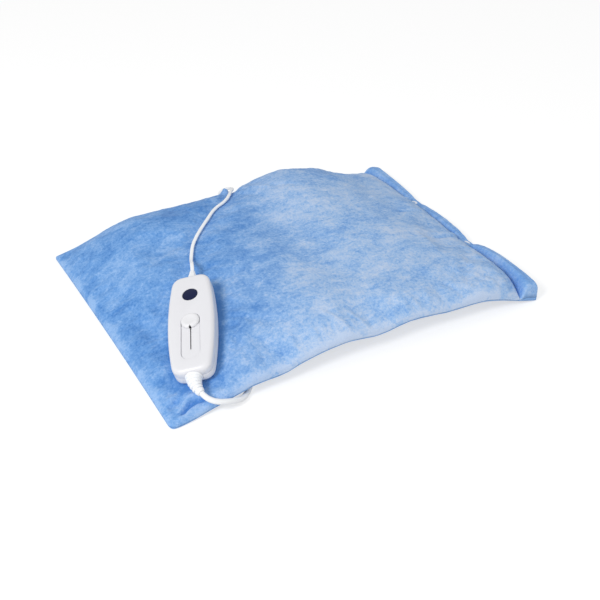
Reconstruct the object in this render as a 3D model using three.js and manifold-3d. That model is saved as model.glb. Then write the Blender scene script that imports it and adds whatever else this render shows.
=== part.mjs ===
// Heating pad in a plush cover, with a slide controller on its cord and a mains lead.
// Millimetres, +Z up. +X runs along the long side towards the snap closure, and +Y towards the
// back edge, where the thin cord enters. The origin is on the floor below the middle of the pad.
import * as THREE from 'three';
import { mergeVertices } from 'three/addons/utils/BufferGeometryUtils.js';
import Module from 'manifold-3d';

const wasm = await Module();
wasm.setup();

// Sizes of the pad and its cover
const PAD_LENGTH = 450;
const PAD_DEPTH = 350;
const SIDE_DRAW = 1.5; // how far the middle of a short side is drawn in
const EDGE_DRAW = 8; // how far the middle of a long side is drawn in
const COVER_THICKNESS = 2; // of one layer
const GAP = 0.3; // between pieces that touch
const CROWN = 18; // swell of the filling above the flat seams
const SEAM_MARGIN = 6; // flat cloth outside the filling along the seams
const SIDE_CROWN_RUN = 89; // from the short seam's margin to full thickness
const EDGE_CROWN_RUN = 64; // from a long seam's margin to full thickness
const HEM_CROWN_RUN = 30; // from the hem's crease to full thickness
const FLAT_CUT = 0.5; // cut off flat where the cover lies on the floor
const FRONT_ARCH_RISE = 20.5;
const FRONT_FOLD_RISE = 9.5;
const BACK_ARCH_RISE = 27;
const BACK_FOLD_RISE = 13;
// Places along the pad, as shares of its length from the middle
const FRONT_ARCH_SHARES = { start: -0.5, rise: 0.33, end: 0.52, fall: 0.2 };
const BACK_ARCH_SHARES = { start: -0.522, rise: 0.244, end: 0.427, fall: 0.178 };
const FRONT_FOLD_SHARES = { centre: -0.078, half: 0.156 };
const BACK_FOLD_SHARES = { centre: 0.142, half: 0.173 };
const GRID_CROWDING_SHARE = 0.7; // how far the cover's grid lines crowd towards its seams

// Sizes of the closure hem and its snaps
const HEM_WIDTH = 25;
const HEM_RISE_RUN = 8; // from the crease to the hem's full thickness
const BAND_SWELL = 3; // of the lower hem over one layer of the cover
const FLAP_SWELL = 3.2; // of the upper hem over one layer of the cover
const CORNER_SWELL = 8; // of the upper hem at the front corner
const CORNER_SWELL_SHARES = { start: 0.11, run: 0.23 }; // of the pad's depth, from its middle to its front
const BACK_END_RUN = 16; // over which the upper hem thins at its back end
const FLAP_RELIEF = 0.6; // between the flap's hinge line and the cover
const SNAP_CAP_RADIUS = 5.5;
const SNAP_CAP_RIM = 0.7;
const SNAP_CAP_DOME = 0.7;
const SNAP_CAP_CHAMFER = 1.1;
const SNAP_BODY_RADIUS = 4.75;
const SNAP_POST_RADIUS = 1.2;
const SNAP_PLATE = 0.8; // a stud's disc
const SNAP_SINK = 0.2; // of a stud's disc in the lower hem
const STUD_KNOB_RADIUS = 2;
const STUD_KNOB_HEIGHT = 1.5;
const STUD_KNOB_CHAMFER = 0.4;
const SOCKET_BORE_RADIUS = 2.8;
const SOCKET_HEIGHT = 1.5;
const SNAP_SPACING = 114; // between the two snaps
const SNAP_SHIFT = 8; // of the middle between them towards the back
const SNAP_INSET = 9; // from the hem's outer edge

// Sizes inside the pad
const INNER_INSET = 29; // from the seams to the heating element
const INNER_GAP = 0.8; // between the heating element and the cover
const WIRE_RADIUS = 1.2;
const WIRE_ROOM = 0.85; // between the heating wire and the layers round it
const WIRE_RUNS = 10;
const WIRE_INSET = 22; // from the element's edge to the wire
const CUTOUT_LENGTH = 12;
const CUTOUT_WIDTH = 6;
const CUTOUT_THICKNESS = 2.6;
const JUNCTION_WIDTH = 14;
const JUNCTION_DEPTH = 8;
const JUNCTION_HEIGHT = 4.6;
const SLEEVE_RADIUS = 3.5;
const SLEEVE_OUTSIDE = 3; // how far the sleeve stands out of the seam
const SLEEVE_INSIDE = 12;
const CORD_ENTRY_SHARE = -0.0222; // of the pad's length, where the thin cord enters the back seam

// Sizes of the controller
const CASE_LENGTH = 137;
const CASE_WIDTH = 51;
const CASE_END_WIDTH = 43;
const CASE_HEIGHT = 21;
const CASE_CORNER = 12;
const CASE_EDGE = 5; // rounding of the case's upper and lower edges
const CASE_WALL = 2.2;
const CASE_LID = 2.6;
const CASE_INNER_EDGE = 1; // chamfer of the case's inside
const LENS_RADIUS = 8.2;
const LENS_THICKNESS = 2;
const LENS_PROUD = 0.3;
const LENS_LEDGE = 1.5;
const LENS_FROM_END = 30;
const ROUND_SHARE = 0.7; // where the corner between two faces of a rounding lies
const LED_RADIUS = 2.5;
const LED_ROOM = 3.4; // between the lamp and the window
const RECESS_WIDTH = 21.4;
const RECESS_FROM_LENS = 19.8; // from the window to the recess
const RECESS_DEPTH = 1.4;
const RECESS_FROM_END = 15.5; // from the case's mains end to the recess
const SLOT_WIDTH = 2;
const KNOB_RADIUS = 10.2;
const KNOB_HEIGHT = 5;
const KNOB_ROUNDING = 1.6;
const KNOB_DISH = 0.6;
const KNOB_SIDE_ROOM = 0.5; // between the knob and the recess's end
const SLIDER_SPARE = 6.1; // of the recess past the knob's last place
const STEM_WIDTH = 1.4;
const STEM_LENGTH = 5;
const ACTUATOR_WIDTH = 10;
const ACTUATOR_LENGTH = 9;
const ACTUATOR_SHARE = 1 / 7; // of the case's height
const ACTUATOR_ROOM = 1.7; // between the actuator and the upper case
const SWITCH_WIDTH = 14;
const SWITCH_END = 2; // of the switch's body past the actuator's travel
const BOARD_WIDTH = 34;
const BOARD_FROM_END = 22.5; // from the case's ends to the board's
const BOARD_THICKNESS = 1.6;
const BOARD_POST_SHARE = 1 / 6; // of the case's height
const BOARD_POST_RADIUS = 2;
const BOARD_POST_INSET = 5;
const THYRISTOR_WIDTH = 10;
const THYRISTOR_DEPTH = 4.5;
const CAPACITOR_WIDTH = 6;
const CAPACITOR_LENGTH = 13;
const TALL_PART_ROOM = 1.5; // between the tallest parts on the board and the upper case
const FUSE_RADIUS = 2.6;
const FUSE_LENGTH = 20;
const COMPONENT_ROOM = 2.5; // between parts on the board
const TERMINAL_WIDTH = 13;
const TERMINAL_DEPTH = 9;
const TERMINAL_ROOM = 3.9; // between a terminal and the upper case
const LEAD_RADIUS = 1.2;
const LEAD_OFFSET = 4.5; // of the pad side's lead from the case's axis
const BOSS_RADIUS = 3.4;
const BOSS_SIDE = 13.5; // screws from the case's axis
const BOSS_FROM_END = 15;
const SCREW_SHANK_RADIUS = 1.1;
const SCREW_HEAD_RADIUS = 2.5;
const SCREW_HEAD_HEIGHT = 1.8;
const SCREW_SINK = 3.2; // depth of a screw's counterbore
const SCREW_BITE = 5; // of a screw in the upper case
const RELIEF_FLANGE = 2;
const RELIEF_FLANGE_STEP = 1.2;
const PAD_RELIEF_NECK = 3.6;
const PAD_RELIEF_BASE = 6.6;
const PAD_RELIEF_TIP = 2.7;
const PAD_RELIEF_LENGTH = 15;
const MAINS_RELIEF_NECK = 3.9;
const MAINS_RELIEF_BASE = 9;
const MAINS_RELIEF_TIP = 4.3;
const MAINS_RELIEF_LENGTH = 21;
const MAINS_RELIEF_RIBS = 5;
const MAINS_RELIEF_BEND = THREE.MathUtils.degToRad(42);
const MAINS_RELIEF_DROOP = THREE.MathUtils.degToRad(30); // of the bend, from level towards the pad
const RIB_DEPTH = 0.9;
const GROOVE_SHARES = { start: 0.35, floor: 0.25, rise: 0.05 }; // of the distance between ribs

// The controller's place on the pad: shares of the pad's length and depth from the middle
const CONTROLLER_X_SHARE = -0.354;
const CONTROLLER_Y_SHARE = -0.2391;
const CONTROLLER_HEADING = THREE.MathUtils.degToRad(24.2); // from +Y towards +X
const CONTROLLER_ROLL_SHARE = 0.308; // rise per length towards +X
const CONTROLLER_PITCH_SHARE = 0.06; // rise per length towards +Y

// Sizes of the cords, the coil and the plug
const PAD_CORD_RADIUS = 2.1;
const MAINS_RADIUS = 3;
const COIL_TURNS_PER_LAYER = 3.5;
const COIL_MEAN_RADIUS = 36;
const COIL_SPACING = 0.5; // between neighbouring turns
const COIL_CENTRE = [-52, -66];
const COIL_START = THREE.MathUtils.degToRad(262); // the bearing of both of its ends
const COIL_STEPS_PER_TURN = 24;
const TIE_THICKNESS = 0.8;
const TIE_WIDTH = 8;
const TIE_ROOM = 0.7;
const TIE_TURN_SHARE = 0.25; // of a turn from the coil's ends
const PLUG_WIDTH = 35.3;
const PLUG_NECK_WIDTH = 16;
const PLUG_LENGTH = 36;
const PLUG_THICKNESS = 13.7;
const PLUG_EDGE = 2;
const PLUG_CENTRE = [-55, 70];
const PLUG_HEADING = THREE.MathUtils.degToRad(190);
const PIN_RADIUS = 2;
const PIN_LENGTH = 19;
const PIN_TIP = 1;
const PIN_SPACING = 18.6;
const PIN_ROOT = 8; // how far a pin goes into the plug
const PLUG_RELIEF_BASE = 5.2;
const PLUG_RELIEF_TIP = 4.2;
const PLUG_RELIEF_LENGTH = 24;
const PLUG_RELIEF_RIBS = 4;

// The thin cord, from the controller's strain relief to the sleeve in the back seam
const PAD_CORD_ROUTE = [
  [-128.5, -8.8, 57],
  [-126.9, -5.2, 57.7],
  [-124.2, 1.8, 58.3],
  [-121.4, 9, 56.2],
  [-118.4, 17, 51.8],
  [-114.8, 26, 48.7],
  [-109.6, 36.6, 48.6],
  [-102, 50.2, 49.5],
  [-91.8, 63.5, 50.3],
  [-78.5, 78, 51.1],
  [-64, 92.5, 51.6],
  [-51, 106, 51.4],
  [-40.5, 114.5, 51.1],
  [-30.5, 120.5, 50.6],
  [-21, 128.5, 49.8],
  [-13, 138.5, 48.1],
  [-6, 149.5, 45.2],
  [1, 160, 40.9],
  [4.4, 167, 38],
  [5.4, 173, 35.6],
  [3.6, 177.7, 33.7],
  [0, 180.3, 32],
  [-4.6, 180.5, 30.5],
  [-8.5, 177.8, 29.3],
  [-10, 173.6, 28.75],
  [-10, 170.3, 28.7],
];

// The mains lead, from the controller over the front edge and under the arch to the coil
const MAINS_ROUTE = [
  [-191.2, -166.1, 24.3],
  [-190, -169.7, 23.1],
  [-187.3, -173.8, 21.1],
  [-182.9, -176.9, 18.9],
  [-177.3, -178.5, 16.7],
  [-170.8, -178.6, 14.3],
  [-164, -177.5, 11.5],
  [-157.4, -175.7, 8.5],
  [-151, -173, 5.9],
  [-144.6, -168.5, 4],
  [-138.2, -161.9, 3.4],
  [-124, -145, 3.3],
  [-106, -128, 3.5],
  [-87, -116.6, 4.2],
  [-72, -112.8, 4.5],
  [-64.9, -112.9, 4.5],
];

// The mains lead's last stretch, from the coil to the plug
const PLUG_CORD_ROUTE = [
  [-52.6, -114.7, 11],
  [-49.5, -115.6, 10.9],
  [-40, -117.6, 9.6],
  [-27, -117.5, 7.2],
  [-13, -113.2, 4.6],
  [-1, -104.5, 3.4],
  [7.5, -92, 3.2],
  [12, -77, 3.2],
  [13, -60, 3.2],
  [10.5, -43, 3.2],
  [3, -27, 3.2],
  [-9, -14, 3.25],
  [-23, -4.5, 3.3],
  [-34, 3.5, 4.2],
  [-42, 13, 5.6],
  [-46.5, 22, 6.7],
  [-47.6, 28, 6.85],
];

// Looks
const plush = new THREE.MeshStandardMaterial({ color: 0x84a8e0, roughness: 0.95 });
const hemPlush = new THREE.MeshStandardMaterial({ color: 0x7da2dc, roughness: 0.95 });
const quilt = new THREE.MeshStandardMaterial({ color: 0xf0ede4, roughness: 0.95 });
const wireRed = new THREE.MeshStandardMaterial({ color: 0xc8543c, roughness: 0.6 });
const whiteGloss = new THREE.MeshStandardMaterial({ color: 0xf2f2f4, roughness: 0.3 });
const whiteSoft = new THREE.MeshStandardMaterial({ color: 0xeceef0, roughness: 0.55 });
const lensBlue = new THREE.MeshStandardMaterial({ color: 0x0f2350, roughness: 0.12 });
const ledRed = new THREE.MeshStandardMaterial({ color: 0xd83020, roughness: 0.3 });
const boardGreen = new THREE.MeshStandardMaterial({ color: 0x2c6b45, roughness: 0.5 });
const blackPlastic = new THREE.MeshStandardMaterial({ color: 0x1c1c1f, roughness: 0.5 });
const steel = new THREE.MeshStandardMaterial({ color: 0xb8bbc0, roughness: 0.3, metalness: 1 });
const pinBrass = new THREE.MeshStandardMaterial({ color: 0xc9cbd0, roughness: 0.25, metalness: 1 });

const object = new THREE.Group();

function addPiece(name, geometry, material, parent = object) {
  const mesh = new THREE.Mesh(geometry, material);
  mesh.name = name;
  parent.add(mesh);
  return mesh;
}

// Closed geometry, with its faces turned outwards
function outward(source) {
  const bare = source.clone();
  for (const name of Object.keys(bare.attributes)) {
    if (name !== 'position') bare.deleteAttribute(name);
  }
  const geometry = mergeVertices(bare);
  const index = geometry.index.array;
  const corner = [new THREE.Vector3(), new THREE.Vector3(), new THREE.Vector3()];
  let volume = 0;
  for (let i = 0; i < index.length; i += 3) {
    corner.forEach((point, k) => point.fromBufferAttribute(geometry.attributes.position, index[i + k]));
    volume += corner[0].dot(corner[1].cross(corner[2]));
  }
  if (volume < 0) {
    for (let i = 0; i < index.length; i += 3) {
      [index[i], index[i + 1]] = [index[i + 1], index[i]];
    }
  }
  return geometry;
}

function toSolid(source) {
  const geometry = outward(source);
  return new wasm.Manifold(new wasm.Mesh({
    numProp: 3,
    vertProperties: new Float32Array(geometry.attributes.position.array),
    triVerts: new Uint32Array(geometry.index.array),
  }));
}

function toGeometry(solid) {
  const mesh = solid.getMesh();
  const geometry = new THREE.BufferGeometry();
  geometry.setAttribute('position', new THREE.BufferAttribute(new Float32Array(mesh.vertProperties), 3));
  geometry.setIndex(new THREE.BufferAttribute(new Uint32Array(mesh.triVerts), 1));
  return geometry;
}

function cut(body, ...tools) {
  return tools.reduce((solid, tool) => solid.subtract(toSolid(tool)), body);
}

function join(body, ...others) {
  return others.reduce((solid, other) => solid.add(toSolid(other)), body);
}

function box(size, centre) {
  return new THREE.BoxGeometry(...size).translate(...centre);
}

// Upright cylinder at x, y between two heights
function post(radius, x, y, low, high, sides = 16) {
  const geometry = new THREE.CylinderGeometry(radius, radius, high - low, sides);
  return geometry.rotateX(Math.PI / 2).translate(x, y, (low + high) / 2);
}

// Turned piece: the profile is [radius, height] from axis to axis, turned about Y
function turned(profile, sides) {
  const points = profile.map(([radius, height]) => new THREE.Vector2(radius, height));
  return outward(new THREE.LatheGeometry(points, sides));
}

function turnedUpright(profile, sides, x, y) {
  return turned(profile, sides).rotateX(Math.PI / 2).translate(x, y, 0);
}

// Tube through points that lie about level, with a polygon section
function levelTube(points, radius, sides) {
  const up = new THREE.Vector3(0, 0, 1);
  const positions = [];
  const index = [];
  points.forEach((point, i) => {
    const before = points[Math.max(i - 1, 0)];
    const after = points[Math.min(i + 1, points.length - 1)];
    const heading = after.clone().sub(before).normalize();
    const side = new THREE.Vector3().crossVectors(heading, up).normalize();
    const rise = new THREE.Vector3().crossVectors(side, heading);
    for (let k = 0; k < sides; k += 1) {
      const angle = (2 * Math.PI * (k + 1 / 2)) / sides;
      const corner = point.clone().addScaledVector(side, radius * Math.cos(angle));
      corner.addScaledVector(rise, radius * Math.sin(angle));
      positions.push(corner.x, corner.y, corner.z);
    }
  });
  for (let i = 0; i + 1 < points.length; i += 1) {
    for (let k = 0; k < sides; k += 1) {
      const next = (k + 1) % sides;
      const [a, b, c, d] = [i * sides + k, i * sides + next, (i + 1) * sides + next, (i + 1) * sides + k];
      index.push(a, b, c, a, c, d);
    }
  }
  const last = (points.length - 1) * sides;
  for (let k = 1; k + 1 < sides; k += 1) {
    index.push(0, k + 1, k, last, last + k, last + k + 1);
  }
  const geometry = new THREE.BufferGeometry();
  geometry.setAttribute('position', new THREE.Float32BufferAttribute(positions, 3));
  geometry.setIndex(index);
  return outward(geometry);
}

function polygonShape(radius, sides) {
  const corners = [];
  for (let k = 0; k < sides; k += 1) {
    const angle = (2 * Math.PI * k) / sides;
    corners.push(new THREE.Vector2(radius * Math.cos(angle), radius * Math.sin(angle)));
  }
  return new THREE.Shape(corners);
}

// Free cord along hand-chosen points
function cordTube(route, radius, sides, stepLength) {
  const curve = new THREE.CatmullRomCurve3(route.map((point) => new THREE.Vector3(...point)));
  const steps = Math.ceil(curve.getLength() / stepLength);
  const options = { steps, bevelEnabled: false, extrudePath: curve };
  return new THREE.ExtrudeGeometry(polygonShape(radius, sides), options);
}

// Shape of the pad. x and y are places on the cover before its sides draw in.
const SEAM = 2 * COVER_THICKNESS + GAP;
const CREASE_X = PAD_LENGTH / 2 - HEM_WIDTH;
const smooth = (value) => {
  const t = Math.min(Math.max(value, 0), 1);
  return t * t * (3 - 2 * t);
};
const swell = (value) => Math.sqrt(1 - (1 - Math.min(Math.max(value, 0), 1)) ** 2);

function archRise(x, rise, shares) {
  const up = smooth((x / PAD_LENGTH - shares.start) / shares.rise);
  const down = smooth((shares.end - x / PAD_LENGTH) / shares.fall);
  return rise * up * down;
}

function foldRise(x, rise, shares) {
  const away = Math.min(Math.abs(x / PAD_LENGTH - shares.centre) / shares.half, 1);
  return (rise * (1 + Math.cos(Math.PI * away))) / 2;
}

function underside(x, y) {
  const frontArch = archRise(x, FRONT_ARCH_RISE, FRONT_ARCH_SHARES);
  const frontFold = foldRise(x, FRONT_FOLD_RISE, FRONT_FOLD_SHARES);
  const backArch = archRise(x, BACK_ARCH_RISE, BACK_ARCH_SHARES);
  const backFold = foldRise(x, BACK_FOLD_RISE, BACK_FOLD_SHARES);
  const backShare = smooth(y / PAD_DEPTH + 1 / 2);
  const rise = (frontArch + frontFold) * (1 - backShare) + (backArch + backFold) * backShare;
  return Math.max(rise - FLAT_CUT, 0);
}

function thickness(x, y) {
  const side = swell((x + PAD_LENGTH / 2 - SEAM_MARGIN) / SIDE_CROWN_RUN);
  const hem = swell((CREASE_X - x) / HEM_CROWN_RUN);
  const edge = swell((PAD_DEPTH / 2 - SEAM_MARGIN - Math.abs(y)) / EDGE_CROWN_RUN);
  return SEAM + CROWN * side * hem * edge;
}

const topside = (x, y) => underside(x, y) + thickness(x, y);
const middle = (x, y) => underside(x, y) + thickness(x, y) / 2;

// Where a place on the flat cover lies once the sides are drawn in, and back again
function drawnIn(x, y) {
  const xShare = (2 * x) / PAD_LENGTH;
  const yShare = (2 * y) / PAD_DEPTH;
  return [x - SIDE_DRAW * xShare * (1 - yShare ** 2), y - EDGE_DRAW * yShare * (1 - xShare ** 2)];
}

function drawnOut(planX, planY) {
  let [x, y] = [planX, planY];
  for (let round = 0; round < 4; round += 1) {
    const [nowX, nowY] = drawnIn(x, y);
    [x, y] = [x + planX - nowX, y + planY - nowY];
  }
  return [x, y];
}

// Grid lines from low to high, closer together near both ends
function gridLines(low, high, count, crowding = 0) {
  const lines = [];
  for (let k = 0; k <= count; k += 1) {
    const even = k / count;
    const crowded = (1 - Math.cos(Math.PI * even)) / 2;
    lines.push(low + (high - low) * (even + crowding * (crowded - even)));
  }
  return lines;
}

// Closed layer of cloth between two height functions
function layer(xs, ys, low, high) {
  const positions = [];
  for (const face of [low, high]) {
    for (const y of ys) {
      for (const x of xs) positions.push(...drawnIn(x, y), face(x, y));
    }
  }
  const index = [];
  const at = (level, row, column) => (level * ys.length + row) * xs.length + column;
  const quad = (a, b, c, d) => index.push(a, b, c, a, c, d);
  const lastRow = ys.length - 1;
  const lastColumn = xs.length - 1;
  for (let row = 0; row < lastRow; row += 1) {
    for (let column = 0; column < lastColumn; column += 1) {
      quad(at(1, row, column), at(1, row, column + 1), at(1, row + 1, column + 1), at(1, row + 1, column));
      quad(at(0, row, column), at(0, row + 1, column), at(0, row + 1, column + 1), at(0, row, column + 1));
    }
    const end = lastColumn;
    quad(at(0, row + 1, 0), at(0, row, 0), at(1, row, 0), at(1, row + 1, 0));
    quad(at(0, row, end), at(0, row + 1, end), at(1, row + 1, end), at(1, row, end));
  }
  for (let column = 0; column < lastColumn; column += 1) {
    const end = lastRow;
    quad(at(0, 0, column), at(0, 0, column + 1), at(1, 0, column + 1), at(1, 0, column));
    quad(at(0, end, column + 1), at(0, end, column), at(1, end, column), at(1, end, column + 1));
  }
  const geometry = new THREE.BufferGeometry();
  geometry.setAttribute('position', new THREE.Float32BufferAttribute(positions, 3));
  geometry.setIndex(index);
  return geometry;
}

// The thin cord's sleeve lies in the back seam, in the middle of its thickness
const [ENTRY_X, ENTRY_Y] = drawnIn(CORD_ENTRY_SHARE * PAD_LENGTH, PAD_DEPTH / 2);
const ENTRY_Z = middle(CORD_ENTRY_SHARE * PAD_LENGTH, PAD_DEPTH / 2);

function sleeveTool() {
  const length = 2 * (SLEEVE_INSIDE + SLEEVE_OUTSIDE);
  const radius = SLEEVE_RADIUS + GAP;
  return new THREE.CylinderGeometry(radius, radius, length, 12).translate(ENTRY_X, ENTRY_Y, ENTRY_Z);
}

function makeCovers() {
  const xs = gridLines(-PAD_LENGTH / 2, CREASE_X, 28, GRID_CROWDING_SHARE);
  const ys = gridLines(-PAD_DEPTH / 2, PAD_DEPTH / 2, 20, GRID_CROWDING_SHARE);
  const top = layer(xs, ys, (x, y) => topside(x, y) - COVER_THICKNESS, topside);
  const bottom = layer(xs, ys, underside, (x, y) => underside(x, y) + COVER_THICKNESS);
  addPiece('cover_top', toGeometry(cut(toSolid(top), sleeveTool())), plush);
  addPiece('cover_bottom', toGeometry(cut(toSolid(bottom), sleeveTool())), plush);
}

function makeInnerPad() {
  const left = -PAD_LENGTH / 2 + INNER_INSET;
  const right = CREASE_X - INNER_INSET;
  const front = -PAD_DEPTH / 2 + INNER_INSET;
  const back = PAD_DEPTH / 2 - INNER_INSET;
  const xs = gridLines(left, right, 16);
  const ys = gridLines(front, back, 10);
  const room = WIRE_RADIUS + WIRE_ROOM;
  const coverRoom = COVER_THICKNESS + INNER_GAP;
  const top = layer(xs, ys, (x, y) => middle(x, y) + room, (x, y) => topside(x, y) - coverRoom);
  const bottom = layer(xs, ys, (x, y) => underside(x, y) + coverRoom, (x, y) => middle(x, y) - room);
  addPiece('inner_pad_top', top, quilt);
  addPiece('inner_pad_bottom', bottom, quilt);

  // The wire runs to and fro across the pad and turns in half circles
  const pitch = (right - left - 2 * WIRE_INSET) / (WIRE_RUNS - 1);
  const turn = pitch / 2;
  const reach = back - WIRE_INSET - turn;
  const plan = [];
  for (let run = 0; run < WIRE_RUNS; run += 1) {
    const x = left + WIRE_INSET + run * pitch;
    const sense = run % 2 === 0 ? 1 : -1;
    for (let step = 0; step <= 7; step += 1) plan.push([x, sense * reach * ((2 * step) / 7 - 1)]);
    for (let step = 1; step < 6 && run + 1 < WIRE_RUNS; step += 1) {
      const angle = (Math.PI * step) / 6;
      plan.push([x + turn - turn * Math.cos(angle), sense * (reach + turn * Math.sin(angle))]);
    }
  }
  const points = plan.map(([x, y]) => new THREE.Vector3(...drawnIn(x, y), middle(x, y)));
  addPiece('heating_wire', levelTube(points, WIRE_RADIUS, 5), wireRed);

  // A thermal cut-out lies beside the second run and the last run but one
  [1, WIRE_RUNS - 2].forEach((run, k) => {
    const start = left + WIRE_INSET + run * pitch + WIRE_RADIUS + 2 * GAP;
    const cutoutXs = gridLines(start, start + CUTOUT_WIDTH, 2);
    const cutoutYs = gridLines(-CUTOUT_LENGTH / 2, CUTOUT_LENGTH / 2, 2);
    const half = CUTOUT_THICKNESS / 2;
    const body = layer(cutoutXs, cutoutYs, (x, y) => middle(x, y) - half, (x, y) => middle(x, y) + half);
    addPiece(`thermal_cutout_${k + 1}`, body, whiteSoft);
  });
}

function makeCordEntry() {
  const inner = ENTRY_Y - SLEEVE_INSIDE;
  const outer = ENTRY_Y + SLEEVE_OUTSIDE;
  const sleeve = new THREE.CylinderGeometry(SLEEVE_RADIUS, SLEEVE_RADIUS, outer - inner, 12);
  addPiece('cord_sleeve', sleeve.translate(ENTRY_X, (inner + outer) / 2, ENTRY_Z), whiteSoft);
  const size = [JUNCTION_WIDTH, JUNCTION_DEPTH, JUNCTION_HEIGHT];
  const junctionY = inner - GAP - JUNCTION_DEPTH / 2;
  const junctionZ = middle(...drawnOut(ENTRY_X, junctionY));
  addPiece('pad_junction', box(size, [ENTRY_X, junctionY, junctionZ]), whiteSoft);
}

// Closure hem: a band below and a flap above it, held by two snaps
const HEM_START = CREASE_X + FLAP_RELIEF;
const hemShare = (x) => smooth((x - HEM_START) / HEM_RISE_RUN);
const cornerShare = (y) => smooth((-y / PAD_DEPTH - CORNER_SWELL_SHARES.start) / CORNER_SWELL_SHARES.run);
const endShare = (y) => smooth(1 / 2 + (PAD_DEPTH / 2 - y) / (2 * BACK_END_RUN));
const bandHigh = (x, y) => underside(x, y) + COVER_THICKNESS + BAND_SWELL * hemShare(x);
const flapLow = (x, y) => bandHigh(x, y) + GAP;
const flapHigh = (x, y) => (
  flapLow(x, y) + COVER_THICKNESS + hemShare(x) * (FLAP_SWELL * endShare(y) + CORNER_SWELL * cornerShare(y))
);

function makeClosure() {
  const xs = [HEM_START, ...gridLines(HEM_START + HEM_RISE_RUN / 3, PAD_LENGTH / 2, 4)];
  const ys = gridLines(-PAD_DEPTH / 2, PAD_DEPTH / 2, 13);
  let band = toSolid(layer(xs, ys, underside, bandHigh));
  let flap = toSolid(layer(xs, ys, flapLow, flapHigh));
  const reach = COVER_THICKNESS + BAND_SWELL + FLAP_SWELL;

  [-1, 1].forEach((side, k) => {
    const place = [PAD_LENGTH / 2 - SNAP_INSET, SNAP_SHIFT + (side * SNAP_SPACING) / 2];
    const [x, y] = drawnIn(...place);

    // Heights of the snap's pieces, from the floor up
    const capLow = underside(...place) + GAP;
    const capHigh = capLow + SNAP_CAP_RIM;
    const studHigh = bandHigh(...place) - SNAP_SINK;
    const studLow = studHigh - SNAP_PLATE;
    const socketLow = flapLow(...place);
    const socketHigh = socketLow + SOCKET_HEIGHT;
    const socketPocket = socketHigh + GAP;
    const topRim = flapHigh(...place);
    const topLow = topRim - SNAP_CAP_RIM;

    const capRoom = SNAP_CAP_RADIUS + GAP;
    const bodyRoom = SNAP_BODY_RADIUS + GAP;
    const postRoom = SNAP_POST_RADIUS + GAP;
    band = cut(
      band,
      post(capRoom, x, y, capLow - reach, capHigh + GAP),
      post(postRoom, x, y, capLow, studHigh, 12),
      post(bodyRoom, x, y, studLow - GAP, studHigh + reach),
    );
    flap = cut(
      flap,
      post(bodyRoom, x, y, socketLow - reach, socketPocket),
      post(postRoom, x, y, socketLow, topRim, 12),
      post(capRoom, x, y, topLow - GAP, topRim + reach),
    );
    const capBottom = [
      [0, capLow], [SNAP_CAP_RADIUS, capLow], [SNAP_CAP_RADIUS, capHigh],
      [SNAP_POST_RADIUS, capHigh], [SNAP_POST_RADIUS, studLow - GAP], [0, studLow - GAP],
    ];
    const knobHigh = studHigh + STUD_KNOB_HEIGHT;
    const stud = [
      [0, studLow], [SNAP_BODY_RADIUS, studLow], [SNAP_BODY_RADIUS, studHigh], [STUD_KNOB_RADIUS, studHigh],
      [STUD_KNOB_RADIUS, knobHigh - STUD_KNOB_CHAMFER], [STUD_KNOB_RADIUS - STUD_KNOB_CHAMFER, knobHigh],
      [0, knobHigh],
    ];
    const socket = [
      [SOCKET_BORE_RADIUS, socketLow], [SNAP_BODY_RADIUS, socketLow], [SNAP_BODY_RADIUS, socketHigh],
      [SOCKET_BORE_RADIUS, socketHigh], [SOCKET_BORE_RADIUS, socketLow],
    ];
    const capTop = [
      [0, socketPocket], [SNAP_POST_RADIUS, socketPocket], [SNAP_POST_RADIUS, topLow],
      [SNAP_CAP_RADIUS, topLow], [SNAP_CAP_RADIUS, topRim],
      [SNAP_CAP_RADIUS - SNAP_CAP_CHAMFER, topRim + SNAP_CAP_DOME / 2], [0, topRim + SNAP_CAP_DOME],
    ];
    addPiece(`snap_${k + 1}_cap_bottom`, turnedUpright(capBottom, 16, x, y), whiteGloss);
    addPiece(`snap_${k + 1}_stud`, turnedUpright(stud, 16, x, y), whiteGloss);
    addPiece(`snap_${k + 1}_socket`, turnedUpright(socket, 16, x, y), whiteGloss);
    addPiece(`snap_${k + 1}_cap_top`, turnedUpright(capTop, 16, x, y), whiteGloss);
  });
  addPiece('closure_band', toGeometry(band), hemPlush);
  addPiece('closure_flap', toGeometry(flap), hemPlush);
}

// Controller, in its own frame: x across, y along towards the pad's cord, z up from its base
const CASE_PART = CASE_HEIGHT / 2;
const CASE_INNER_END = CASE_LENGTH / 2 - CASE_WALL;
const LID_LOW = CASE_HEIGHT - CASE_LID;
const RECESS_FLOOR = CASE_HEIGHT - RECESS_DEPTH;
const RECESS_END = -CASE_LENGTH / 2 + RECESS_FROM_END;
const LENS_Y = CASE_LENGTH / 2 - LENS_FROM_END;
const RECESS_LENGTH = LENS_Y - LENS_RADIUS - RECESS_FROM_LENS - RECESS_END;
const TRAVEL = RECESS_LENGTH - 2 * (KNOB_RADIUS + KNOB_SIDE_ROOM) - SLIDER_SPARE;
const KNOB_Y = RECESS_END + RECESS_LENGTH - KNOB_RADIUS - KNOB_SIDE_ROOM;
const BOARD_LENGTH = CASE_LENGTH - 2 * BOARD_FROM_END;
const BOARD_LOW = CASE_WALL + BOARD_POST_SHARE * CASE_HEIGHT + GAP;
const BOARD_TOP = BOARD_LOW + BOARD_THICKNESS;
const MOUNTED = BOARD_TOP + GAP; // underside of what stands on the board
const ACTUATOR_HEIGHT = ACTUATOR_SHARE * CASE_HEIGHT;
const ACTUATOR_LOW = LID_LOW - ACTUATOR_ROOM - ACTUATOR_HEIGHT;
const SWITCH_HEIGHT = ACTUATOR_LOW - GAP - MOUNTED;
const TALL_PART_HEIGHT = LID_LOW - TALL_PART_ROOM - MOUNTED;
const SWITCH_NEAR = KNOB_Y - TRAVEL - ACTUATOR_LENGTH / 2 - SWITCH_END;
const SWITCH_FAR = KNOB_Y + ACTUATOR_LENGTH / 2 + SWITCH_END;
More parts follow.
